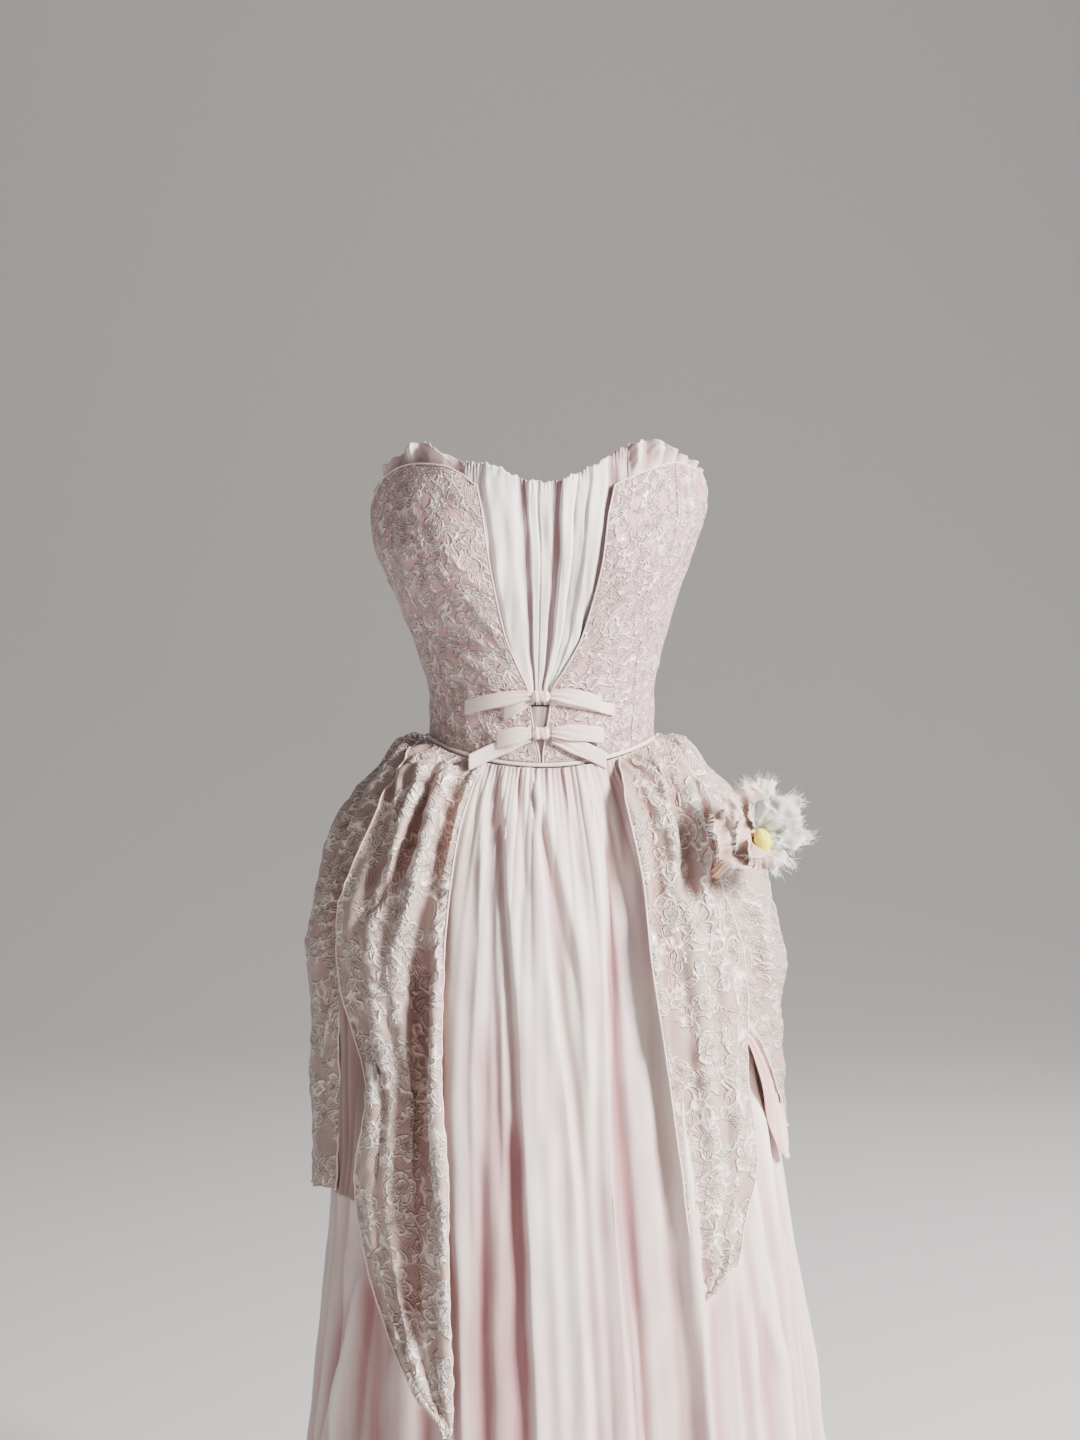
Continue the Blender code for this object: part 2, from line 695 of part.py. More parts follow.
def ribbon_bend(start, middle, end, share):
    """A value on the smooth bend that passes through the middle at half way."""
    control = 2 * middle - 0.5 * (start + end)
    return (1 - share) ** 2 * start + 2 * share * (1 - share) * control + share * share * end


def build_bows():
    """The ribbon ends and the two knots between them."""
    for piece in BOW_RIBBONS:

        def place(share, across, out, piece=piece):
            x, height = [
                ribbon_bend(piece.start[k], piece.middle[k], piece.end[k], share) for k in (0, 1)
            ]
            bulge = RIBBON_ARCH * math.sin(math.pi * share) + RIBBON_CROWN * (1 - 4 * across * across)
            lift = piece.lift + RIBBON_WALL + SEAM_GAP + bulge + piece.flare * share ** 3
            width = piece.width * mix(RIBBON_PINCH, 1.0, swell(share / 0.4))
            return on_lace(x, height + across * width, lift + out)

        shares = steps(6) if piece.end[0] > piece.start[0] else steps(6)[::-1]
        panel(piece.name, shares, (-0.5, 0.0, 0.5), place, RIBBON, RIBBON_WALL)
    for knot in BOW_KNOTS:
        bm = bmesh.new()
        bmesh.ops.create_icosphere(bm, subdivisions=2, radius=1.0)
        middle = on_lace(knot.x, knot.height, KNOT_LIFT)
        for vert in bm.verts:
            unit = vert.co.copy()
            vert.co = middle + Vector(
                (unit.x * knot.width / 2, unit.y * KNOT_DEPTH, unit.z * knot.tall / 2)
            )
        add_object(knot.name, bm, RIBBON)


def fold_columns(near, far):
    """Angles at the ridges and troughs of the skirt's gathers between two seams."""
    angles = [uneven_angle(phase, SKIRT_FOLDS) for phase in range(-SKIRT_FOLDS - 4, SKIRT_FOLDS + 5)]
    inner = [angle for angle in angles if near + 1.0 < angle < far - 1.0]
    return [near] + inner + [far]


def build_skirt():
    """The gathered skirt: a front and two backs."""
    panels = (
        ("skirt_front", -SIDE_SEAM + HALF_SEAM, SIDE_SEAM - HALF_SEAM, 0),
        ("skirt_back_right", SIDE_SEAM + HALF_SEAM, 180 - HALF_SEAM, 0),
        ("skirt_back_left", 180 + HALF_SEAM, 360 - SIDE_SEAM - HALF_SEAM, 360),
    )
    for name, near, far, turn in panels:
        columns = [angle + turn for angle in fold_columns(near - turn, far - turn)]
        panel(name, columns, SKIRT_ROWS[::-1], skirt_point, CHIFFON)


def drape_lower(drape, share):
    """The height of a drape's lower edge."""
    if drape.lower is None:
        return drape.border[0].height
    return smooth_value(drape.lower, "height", share)


def build_drapes():
    """The four lace drapes."""
    for drape in DRAPES:
        long_fold = drape.lower is not None
        columns = 24 if long_fold else 14
        rows = 10 if long_fold else 14
        grid = []
        for up in steps(rows):
            fall_share = (1 - up) ** DRAPE_ROW_POWER
            row = []
            for share in steps(columns):
                near = smooth_value(drape.border, "near", WAIST_LEVEL)
                far = smooth_value(drape.border, "far", WAIST_LEVEL)
                top_angle = mix(near, far, share)
                top = waist_height(top_angle) - DRAPE_TOP
                height = mix(top, drape_lower(drape, share), fall_share)
                row.append(drape_point(drape, share, height))
            grid.append(row if drape.border[0].far > drape.border[0].near else row[::-1])
        sheet(drape.name, grid, LACE)


def build_linings():
    """The drapes' linings, only where they show past the lace."""
    for piece in LININGS:
        low, high = piece.border[0].height, piece.border[-1].height
        grid = []
        for up in steps(8):
            height = mix(low, high, up)
            row = [drape_point(piece, share, height, -LINING_TUCK) for share in steps(6)]
            grid.append(row if piece.border[0].far > piece.border[0].near else row[::-1])
        sheet(piece.name, grid, LINING, FINE_WALL)


# The flower: where its stem is sewn to the right front drape, how the stem bends from there up to
# the petals' root, and the way the flower faces
FLOWER_SHARE = 0.94
FLOWER_HEIGHT = -0.122
FLOWER_DRAPE_WIDTH = 0.105  # the drape's width at the flower
FLOWER_SIDES = 10
FLOWER_SEAT_RADIUS = 0.0060
FLOWER_SEAT_GAP = 0.0010
FLOWER_STEM_BEND = Vector((0.010, -0.014, 0.010))
FLOWER_STEM = Vector((0.029, 0.008, 0.032))
FLOWER_AXIS = Vector((0.50, -0.80, 0.33)).normalized()
FLOWER_UP = (Vector((0, 0, 1)) - FLOWER_AXIS * FLOWER_AXIS.z).normalized()
FLOWER_RIGHT = FLOWER_UP.cross(FLOWER_AXIS)
# Petals: turn from straight up towards the right, reach and rise of the tip, and half-width in degrees
Petal = namedtuple("Petal", "name turn reach rise spread root lift ruffle")
PETALS = (
    Petal("flower_petal_1", 20, 0.047, 0.034, 38, 0.0062, 0.0060, 0.0016),
    Petal("flower_petal_2", 80, 0.047, 0.040, 35, 0.0056, 0.0086, 0.0016),
    Petal("flower_petal_3", 140, 0.042, 0.030, 38, 0.0062, 0.0060, 0.0016),
    Petal("flower_petal_4", 200, 0.038, 0.040, 35, 0.0056, 0.0086, 0.0016),
    Petal("flower_petal_5", 260, 0.050, 0.032, 37, 0.0062, 0.0062, 0.0016),
    Petal("flower_petal_6", 320, 0.045, 0.040, 35, 0.0056, 0.0086, 0.0016),
    Petal("flower_inner_1", 350, 0.021, 0.038, 50, 0.0042, 0.0110, 0.0020),
    Petal("flower_inner_2", 110, 0.019, 0.034, 50, 0.0042, 0.0110, 0.0020),
    Petal("flower_inner_3", 232, 0.021, 0.036, 50, 0.0042, 0.0110, 0.0020),
)
# Share of the way up the stem and radius of its rings
STEM_RINGS = ((0.22, 0.0046), (0.38, 0.0042), (0.58, 0.0042), (0.80, 0.0046))
# Rise and radius of the rings over the petals' root, of the flower's base and of its middle
BASE_RINGS = ((0.0000, 0.0052), (0.0047, 0.0056), (0.0078, 0.0050), (0.0098, 0.0036), (0.0150, 0.0025))
CENTRE_RINGS = ((0.0153, 0.0028), (0.0173, 0.0065), (0.0223, 0.0078), (0.0283, 0.0060), (0.0313, 0.0020))


def flower_seat(across=0.0, up=0.0, out=0.0):
    """A point on the drape under the flower, moved across and up by metres and out from the cloth."""
    drape = DRAPES[1]
    share = FLOWER_SHARE + across / FLOWER_DRAPE_WIDTH
    return drape_point(drape, share, FLOWER_HEIGHT + up, out)


def flower_root():
    """The point that the petals grow from, at the top of the stem."""
    return flower_seat() + FLOWER_STEM


def stem_ring(share, radius, turns):
    """A ring of points round the stem, at a share of the way up it."""
    bend = 2 * share * (1 - share) * FLOWER_STEM_BEND + share * share * FLOWER_STEM
    facing = FLOWER_STEM_BEND.normalized().lerp(FLOWER_AXIS, share).normalized()
    up = (FLOWER_UP - facing * FLOWER_UP.dot(facing)).normalized()
    right = up.cross(facing)
    return [flower_seat() + bend + (right * math.cos(turn) + up * math.sin(turn)) * radius for turn in turns]


def petal_point(petal, across, along, out):
    """A point of a cupped petal: across from -1 to 1, along from 0 at its root to 1 at its tip."""
    narrow = 0.80 + 0.20 * math.sin(math.pi * min(along / 0.75, 1.0) * 0.5)
    tip = 1.0 - 0.45 * swell((along - 0.70) / 0.30)
    turn = math.radians(petal.turn + across * petal.spread * narrow * tip)
    edge = 1.0 - 0.10 * across * across * swell(along)
    radius = petal.root + (petal.reach - petal.root) * along ** 1.15 * edge
    ruffle = petal.ruffle * along * math.sin(5.2 * across + 0.05 * petal.turn)
    rise = petal.lift + (petal.rise - petal.lift) * along ** 0.85 + ruffle + out
    away = FLOWER_UP * math.cos(turn) + FLOWER_RIGHT * math.sin(turn)
    return flower_root() + FLOWER_AXIS * rise + away * radius


def ring_solid(name, rings, finish):
    """A closed solid through rings of points, listed from its bottom to its top."""
    bm = bmesh.new()
    made = [[bm.verts.new(point) for point in ring] for ring in rings]
    count = len(made[0])
    for low, high in zip(made, made[1:]):
        for i in range(count):
            j = (i + 1) % count
            bm.faces.new((low[i], low[j], high[j], high[i]))
    bm.faces.new(made[0][::-1])
    bm.faces.new(made[-1])
    bmesh.ops.recalc_face_normals(bm, faces=bm.faces)
    bmesh.ops.triangulate(bm, faces=[face for face in bm.faces if len(face.verts) > 4])
    add_object(name, bm, finish)


def build_flower():
    """The flower on the hip: its base, cupped petals and yellow middle."""
    turns = [2 * math.pi * i / FLOWER_SIDES for i in range(FLOWER_SIDES)]

    def circle(rise, radius):
        middle = flower_root() + FLOWER_AXIS * rise
        return [
            middle + (FLOWER_RIGHT * math.cos(turn) + FLOWER_UP * math.sin(turn)) * radius for turn in turns
        ]

    seat = [
        flower_seat(FLOWER_SEAT_RADIUS * math.cos(turn), FLOWER_SEAT_RADIUS * math.sin(turn), FLOWER_SEAT_GAP)
        for turn in turns
    ]
    stem = [stem_ring(share, radius, turns) for share, radius in STEM_RINGS]
    ring_solid("flower_base", [seat] + stem + [circle(*ring) for ring in BASE_RINGS], STEM)
    for petal in PETALS:

        def place(along, across, out, petal=petal):
            return petal_point(petal, across, along, out)

        alongs = (0.0, 0.3, 0.6, 0.85, 1.0)
        acrosses = (1.0, 0.6, 0.2, -0.2, -0.6, -1.0)
        panel(petal.name, alongs, acrosses, place, ORGANZA, FINE_WALL)
    ring_solid("flower_centre", [circle(*ring) for ring in CENTRE_RINGS], YELLOW)


def main():
    """Builds every piece of the gown."""
    clear_scene()
    build_bodice()
    build_vestee()
    build_frill("frill_left", -95.0, front_edge(-1)(BUST_TOP) - FRILL_START, 7, 0.0)
    build_frill("frill_right", front_edge(1)(BUST_TOP) + FRILL_START, 97.0, 10, 0.5)
    build_piping()
    build_bows()
    build_skirt()
    build_drapes()
    build_linings()
    build_flower()


main()
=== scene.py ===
"""The looks of a strapless evening gown: its lace, chiffon, ribbons and organza flower.

Metres, +Z up, the front towards -Y and "right" towards +X. The origin is the middle of the waist. An angle of
0 is the centre front, +90 degrees the +X side and 180 degrees the centre back. Places that are said to be in
the picture are pixels of a 1080 x 1440 front view, which show where the folds of the real cloth run.
"""

import logging
import math
from dataclasses import dataclass, replace
from enum import Enum
from typing import Callable, NamedTuple, Sequence

import bpy
import numpy as np
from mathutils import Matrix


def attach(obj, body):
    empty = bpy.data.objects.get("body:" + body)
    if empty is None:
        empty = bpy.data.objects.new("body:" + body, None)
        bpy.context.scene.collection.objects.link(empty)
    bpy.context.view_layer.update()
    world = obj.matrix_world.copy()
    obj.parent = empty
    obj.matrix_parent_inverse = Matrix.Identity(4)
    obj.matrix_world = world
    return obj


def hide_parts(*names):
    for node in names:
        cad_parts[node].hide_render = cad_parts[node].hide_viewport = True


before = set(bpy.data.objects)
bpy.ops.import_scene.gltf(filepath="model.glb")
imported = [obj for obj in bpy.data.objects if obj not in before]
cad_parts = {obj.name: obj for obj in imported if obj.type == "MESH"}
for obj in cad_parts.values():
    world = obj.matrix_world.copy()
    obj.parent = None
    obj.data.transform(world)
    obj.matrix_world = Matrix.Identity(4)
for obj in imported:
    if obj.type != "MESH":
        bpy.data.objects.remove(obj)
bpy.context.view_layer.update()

log = logging.getLogger("gown")

Grid = np.ndarray
Place = tuple[float, float]
Colour = tuple[float, float, float]
Rows = tuple[tuple[float, ...], ...]
Piece = bpy.types.Object
Socket = bpy.types.NodeSocket
Material = bpy.types.Material


class Slot(Enum):
    """Names for the cloths of the gown."""

    LACE = "lace"
    CHIFFON = "chiffon"
    RIBBON = "ribbon"
    SATIN = "satin"
    LINING = "lining"
    ORGANZA = "organza"
    STEM = "stem"
    YELLOW = "yellow"


class Held(Enum):
    """How a piece of cloth is held."""

    STRETCHED = "stretched"
    GATHERED = "gathered"
    DRAPED = "draped"
    HUNG = "hung"


def mix(first: Grid | float, second: Grid | float, share: Grid | float) -> Grid | float:
    """The value a share of the way from the first to the second."""
    return first + (second - first) * share


def swell(share: Grid | float) -> Grid:
    """A smooth rise from 0 to 1."""
    share = np.clip(share, 0.0, 1.0)
    return share * share * (3 - 2 * share)


def hump(offset: Grid | float, spread: Grid | float) -> Grid:
    """A bell-shaped hump of height 1."""
    return np.exp(-((np.asarray(offset) / spread) ** 2))


def shares(columns: int, rows: int) -> list[Grid]:
    """A grid's shares of its width and of its height."""
    return np.meshgrid(np.linspace(0, 1, columns + 1), np.linspace(0, 1, rows + 1))


class SmoothCurve:
    """A smooth curve through rows, level at both ends, that never overshoots them."""

    def __init__(self, rows: Rows, column: int = 1) -> None:
        """Reads a column of rows that are sorted by their first number."""
        self.places = np.array([row[0] for row in rows], float)
        self.values = np.array([row[column] for row in rows], float)
        rise = np.diff(self.values) / np.diff(self.places)
        before, after = rise[:-1], rise[1:]
        same = before * after > 0
        total = np.where(same, before + after, 1.0)
        self.slopes = np.zeros(len(rows))
        self.slopes[1:-1] = np.where(same, 2 * before * after / total, 0.0)

    def at(self, place: Grid | float) -> Grid:
        """The curve's values at places.

        Args:
            place: Places in the rows' first column. Past the ends the curve is level.

        Returns:
            The values there.
        """
        place = np.clip(np.asarray(place, float), self.places[0], self.places[-1])
        index = np.clip(np.searchsorted(self.places, place, side="left") - 1, 0, len(self.places) - 2)
        step = self.places[index + 1] - self.places[index]
        share = (place - self.places[index]) / step
        square, cube = share * share, share**3
        return (
            self.values[index] * (2 * cube - 3 * square + 1)
            + self.values[index + 1] * (3 * square - 2 * cube)
            + self.slopes[index] * step * (cube - 2 * square + share)
            + self.slopes[index + 1] * step * (cube - square)
        )


class FourSides:
    """A size that differs to the left, to the right, in front and behind."""

    def __init__(self, rows: Rows) -> None:
        """Reads rows of a place and the four sizes there."""
        self.left, self.right, self.front, self.back = (SmoothCurve(rows, column) for column in (1, 2, 3, 4))

    def beside(self, across: Grid, place: Grid) -> Grid:
        """The size at places, to the left where across is below 0."""
        return np.where(across < 0, self.left.at(place), self.right.at(place))

    def facing(self, ahead: Grid, place: Grid) -> Grid:
        """The size at places, in front where ahead is above 0."""
        return np.where(ahead > 0, self.front.at(place), self.back.at(place))


class OvalStack(FourSides):
    """A form whose level sections are ovals, from the lowest to the highest."""

    def points(self, angle: Grid, height: Grid, out: Grid | float = 0.0) -> Grid:
        """Points of the form, moved out level.

        Args:
            angle: Degrees from the centre front.
            height: Heights.
            out: Distances out of the form.

        Returns:
            The points, with x, y and z along the last axis.
        """
        angle, height = np.broadcast_arrays(np.asarray(angle, float), np.asarray(height, float))
        turn = np.radians(angle)
        across, ahead = np.sin(turn), np.cos(turn)
        width, depth = self.beside(across, height), self.facing(ahead, height)
        normal_x, normal_y = across / width, -ahead / depth
        long = np.hypot(normal_x, normal_y)
        x, y = width * across + out * normal_x / long, -depth * ahead + out * normal_y / long
        return np.stack([x, y, height + 0 * turn], axis=-1)

    def angle(self, x: Grid, height: Grid) -> Grid:
        """The angles of points in front with these x and heights."""
        return np.degrees(np.arcsin(np.clip(x / self.beside(x, height), -1, 1)))


HEM_HEIGHT = -1.040
SIDE_SEAM = 98.0
PRINCESS_LEFT = -58.0
PRINCESS_RIGHT = 52.0
WAIST_LEVEL = -0.010
BUST_TOP = 0.235
PIPING_RADIUS = 0.0018
SEAM_GAP = 0.0003
HALF_SEAM = 0.05
CENTRE_FRONT_X = 0.001
WALL = 0.0012
FINE_WALL = 0.0010
DRAPE_TOP = 0.0034

# rows of a height and the half-sizes there: left, right, front and back
BODY_FORM = OvalStack((
    (-0.04, 0.105, 0.1085, 0.086, 0.078), (-0.01, 0.1045, 0.108, 0.0855, 0.077),
    (0.028, 0.1045, 0.108, 0.087, 0.0775), (0.066, 0.113, 0.113, 0.092, 0.081),
    (0.104, 0.1265, 0.123, 0.1, 0.087), (0.142, 0.143, 0.1345, 0.109, 0.093),
    (0.18, 0.158, 0.1485, 0.113, 0.095), (0.215, 0.159, 0.1575, 0.111, 0.093),
    (0.275, 0.15, 0.157, 0.104, 0.088),
))
SKIRT_FORM = OvalStack((
    (HEM_HEIGHT, 0.264, 0.325, 0.245, 0.3), (-0.85, 0.242, 0.299, 0.226, 0.276),
    (-0.69, 0.2225, 0.274, 0.212, 0.257), (-0.613, 0.2145, 0.264, 0.205, 0.248),
    (-0.455, 0.199, 0.2375, 0.192, 0.228), (-0.3, 0.189, 0.208, 0.175, 0.205),
    (-0.2, 0.18, 0.188, 0.158, 0.182), (-0.12, 0.159, 0.164, 0.135, 0.15),
    (-0.05, 0.127, 0.129, 0.104, 0.106), (-0.01, 0.1054, 0.1089, 0.0864, 0.0779),
    (0.01, 0.105, 0.1085, 0.0862, 0.0776),
))
# how far the drapes stand off the skirt, by their fall from the waist: left, right, front and back
PANNIER = FourSides((
    (DRAPE_TOP, 0.0026, 0.0026, 0.0022, 0.0027), (0.01, 0.016, 0.017, 0.006, 0.012),
    (0.026, 0.031, 0.035, 0.0085, 0.021), (0.05, 0.04, 0.043, 0.011, 0.029),
    (0.085, 0.041, 0.043, 0.012, 0.031), (0.125, 0.04, 0.041, 0.013, 0.031),
    (0.2, 0.034, 0.035, 0.013, 0.026), (0.28, 0.024, 0.021, 0.013, 0.021),
    (0.39, 0.017, 0.0125, 0.013, 0.018), (0.65, 0.015, 0.014, 0.013, 0.016),
))
# heights of edges, by angle
LACE_TOP = SmoothCurve((
    (-180, 0.168), (-135, 0.172), (-108, 0.19), (-90, 0.206), (-74, 0.228), (-58, 0.247), (-46, 0.2505),
    (-34, 0.248), (-27, 0.241), (-21, 0.23), (0, 0.226), (22, 0.226), (28, 0.234), (38, 0.244), (52, 0.2515),
    (66, 0.246), (82, 0.232), (98, 0.206), (130, 0.176), (180, 0.168),
))
FRILL_TOP = SmoothCurve((
    (-96, 0.204), (-84, 0.22), (-72, 0.244), (-58, 0.263), (-46, 0.27), (-36, 0.26), (-27, 0.2515),
    (-18, 0.25), (-4, 0.235), (3, 0.2335), (13, 0.242), (22, 0.254), (29, 0.264), (38, 0.2715), (45, 0.2705),
    (56, 0.26), (68, 0.253), (86, 0.234), (98, 0.21),
))
# half-openings of the bodice's front, by height: left and right
FRONT_OPENING = (
    (-0.04, 0.0012, 0.0012), (-0.018, 0.0016, 0.0016), (0.0, 0.0055, 0.004), (0.035, 0.011, 0.0095),
    (0.045, 0.0125, 0.011), (0.063, 0.0205, 0.022), (0.096, 0.0335, 0.0385), (0.15, 0.0435, 0.0505),
    (0.2, 0.0515, 0.059), (0.25, 0.06, 0.069),
)
# angles of the near and the far border of a drape or a lining, by height
FRONT_LEFT_BORDER = (
    (-0.612, -20.3, -21.6), (-0.58, -20.8, -28.5), (-0.53, -21.4, -38.0), (-0.47, -22.0, -45.5),
    (-0.4, -23.0, -50.5), (-0.33, -25.6, -47.0), (-0.25, -25.8, -56.0), (-0.16, -26.5, -61.0),
    (-0.08, -27.3, -58.5), (-0.03, -27.0, -64.0), (-0.01, -37.0, -77.0),
)
FRONT_RIGHT_BORDER = (
    (-0.494, 35.0, 36.8), (-0.473, 33.6, 43.5), (-0.44, 32.6, 47.0), (-0.376, 32.0, 54.4), (-0.3, 31.0, 56.0),
    (-0.19, 29.0, 57.0), (-0.122, 30.0, 54.0), (-0.085, 30.6, 60.5), (-0.058, 31.4, 63.0),
    (-0.03, 36.0, 66.0), (-0.01, 44.0, 77.0),
)
SIDE_LEFT_BORDER = (
    (-0.6, -66.0, -179.4), (-0.43, -63.0, -179.4), (-0.3, -62.0, -179.4), (-0.19, -58.0, -179.4),
    (-0.1, -53.0, -179.4), (-0.03, -57.0, -179.4), (0.0, -78.0, -179.4),
)
SIDE_RIGHT_BORDER = (
    (-0.6, 96.0, 179.4), (-0.365, 84.0, 179.4), (-0.33, 75.0, 179.4), (-0.287, 65.5, 179.4),
    (-0.245, 57.0, 179.4), (-0.19, 52.0, 179.4), (-0.11, 48.0, 179.4), (-0.03, 57.0, 179.4),
    (0.0, 78.0, 179.4),
)
LINING_SIDE_LEFT_BORDER = (
    (-0.424, -52.0, -68.0), (-0.38, -47.0, -69.0), (-0.3, -45.0, -68.0), (-0.15, -48.0, -62.0),
)
LINING_SIDE_RIGHT_BORDER = (
    (-0.404, 77.0, 80.5), (-0.38, 72.0, 86.0), (-0.34, 67.5, 90.0), (-0.287, 61.5, 80.0),
    (-0.235, 52.0, 66.0),
)
LINING_FRONT_RIGHT_BORDER = (
    (-0.511, 33.2, 34.6), (-0.49, 32.9, 39.5), (-0.455, 32.9, 44.5), (-0.4, 34.0, 46.0),
)
# heights of the side drapes' lower edges, by share of their width
SIDE_LEFT_LOWER = SmoothCurve((
    (0.0, -0.42), (0.18, -0.434), (0.36, -0.45), (0.62, -0.56), (0.82, -0.45), (1.0, -0.34),
))
SIDE_RIGHT_LOWER = SmoothCurve((
    (0.0, -0.365), (0.12, -0.388), (0.28, -0.42), (0.52, -0.55), (0.76, -0.45), (1.0, -0.34),
))
# depths of folds: on the skirt by share of its length, on the drapes by fall from the waist
SKIRT_FOLD_DEPTH = SmoothCurve((
    (0.0, 0.001), (0.05, 0.0022), (0.2, 0.0034), (0.5, 0.0048), (1.0, 0.0068),
))
DRAPE_FOLD_DEPTH = SmoothCurve((
    (0.0, 0.001), (0.03, 0.005), (0.1, 0.0085), (0.25, 0.0085), (0.62, 0.006),
))


def body_points(angle: Grid, height: Grid, out: Grid | float = 0.0) -> Grid:
    """Points on the bodice's outer face, with the cups of the bust, moved out by a distance."""
    cup = 0.015 * hump(np.abs(angle) - 35.0, 21.0) * hump(height - 0.162, 0.046)
    return BODY_FORM.points(angle, height, out + cup)


def waist_height(angle: Grid) -> Grid:
    """Height of the waist seam, which dips at the centre front."""
    ahead = np.cos(np.radians(angle))
    return -0.0065 - 0.0190 * np.maximum(ahead, 0.0) ** 2 + 0.004 * np.maximum(-ahead, 0.0)


def front_edge(side: int, height: Grid) -> Grid:
    """Angles of the V's edge at heights, the left edge's for side -1 and the right one's for 1."""
    opening = SmoothCurve(FRONT_OPENING, 1 if side < 0 else 2).at(height)
    return BODY_FORM.angle(CENTRE_FRONT_X + side * opening, height)


def gather_wave(angle: Grid, count: float) -> Grid:
    """Uneven gathers round the waist, from -1 in a trough to 1 on a ridge."""
    turn = np.radians(angle)
    shift = 1.5 * np.sin(5 * turn + 0.4) + 0.8 * np.sin(11 * turn + 2.0)
    strength = 0.78 + 0.22 * np.sin(7 * turn + 1.1)
    return strength * np.cos(np.radians((angle + shift) * count))


class PictureFrame:
    """The camera, which turns points into places in the picture's front view."""

    DISTANCE = 2.4
    HEIGHT = 0.2
    PITCH = math.radians(4.538)
    FOCAL = 2534.26
    CENTRE: Place = (540.0, 720.0)
    FOOT = 1430

    @classmethod
    def places(cls, points: Grid) -> tuple[Grid, Grid]:
        """Where points lie across and down in the picture, in pixels."""
        ahead = points[..., 1] + cls.DISTANCE
        up = points[..., 2] - cls.HEIGHT
        forward = ahead * math.cos(cls.PITCH) - up * math.sin(cls.PITCH)
        rise = ahead * math.sin(cls.PITCH) + up * math.cos(cls.PITCH)
        across = cls.CENTRE[0] + cls.FOCAL * points[..., 0] / forward
        return across, cls.CENTRE[1] - cls.FOCAL * rise / forward


@dataclass(frozen=True)
class Fold:
    """A ridge or a trough that runs down the cloth along a path in the picture.

    Attributes:
        lift: How far its crest stands out, or in if it is below 0.
        left: Its spread to the left, in pixels.
        right: Its spread to the right.
        tone: How much painted shade it adds, deepening the cloth's colour on it; below 0 it is a painted
            highlight that makes it paler.
        path: The places across and down of its path, from its top to its bottom.
        fade: Share of its length over which it starts and ends.
    """

    lift: float
    left: float
    right: float
    tone: float
    path: tuple[float, ...]
    fade: float = 0.16

    def shape(self, across: Grid, down: Grid) -> Grid:
        """The fold's strength, from 0 to 1, at places across and down in the picture."""
        xs, ys = np.array(self.path[0::2]), np.array(self.path[1::2])
        slope = (xs[-1] - xs[-2]) / (ys[-1] - ys[-2])
        middle = np.interp(down, ys, xs) + slope * np.maximum(down - ys[-1], 0.0)
        offset = across - middle
        fade = self.fade * (ys[-1] - ys[0]) + 6.0
        strength = hump(offset, np.where(offset < 0, self.left, self.right))
        strength = strength * swell((down - ys[0] + 0.4 * fade) / fade)
        if ys[-1] < PictureFrame.FOOT:
            strength = strength * swell((ys[-1] + 0.4 * fade - down) / fade)
        return strength


def folds(*rows: tuple[float, ...]) -> tuple[Fold, ...]:
    """Folds from rows of a lift, two spreads, a tone of painted shade and then the path's places."""
    return tuple(Fold(*row[:4], row[4:]) for row in rows)


@dataclass(frozen=True)
class Ripples:
    """A soft unevenness of cloth, made of waves that run in all directions.

    Attributes:
        height: How far it stands out.
        longest: Length of the longest waves.
        shortest: Length of the shortest waves.
        seed: Number that sets the waves.
        stretch: How many times longer the waves are down the cloth than across it.
        count: How many waves there are.
    """

    height: float
    longest: float
    shortest: float
    seed: int
    stretch: float = 1.0
    count: int = 22

    def at(self, along: Grid, down: Grid) -> Grid:
        """Distances out of the cloth at places across and down it."""
        draw = np.random.default_rng(self.seed)
        total = np.zeros_like(along)
        for _ in range(self.count):
            length = mix(self.shortest, self.longest, draw.random())
            heading = draw.random() * math.tau
            phase = draw.random() * math.tau
            run = along * math.cos(heading) + down / self.stretch * math.sin(heading)
            total += np.sin(math.tau / length * run + phase) * (length / self.longest)
        return total * self.height / math.sqrt(self.count / 2)


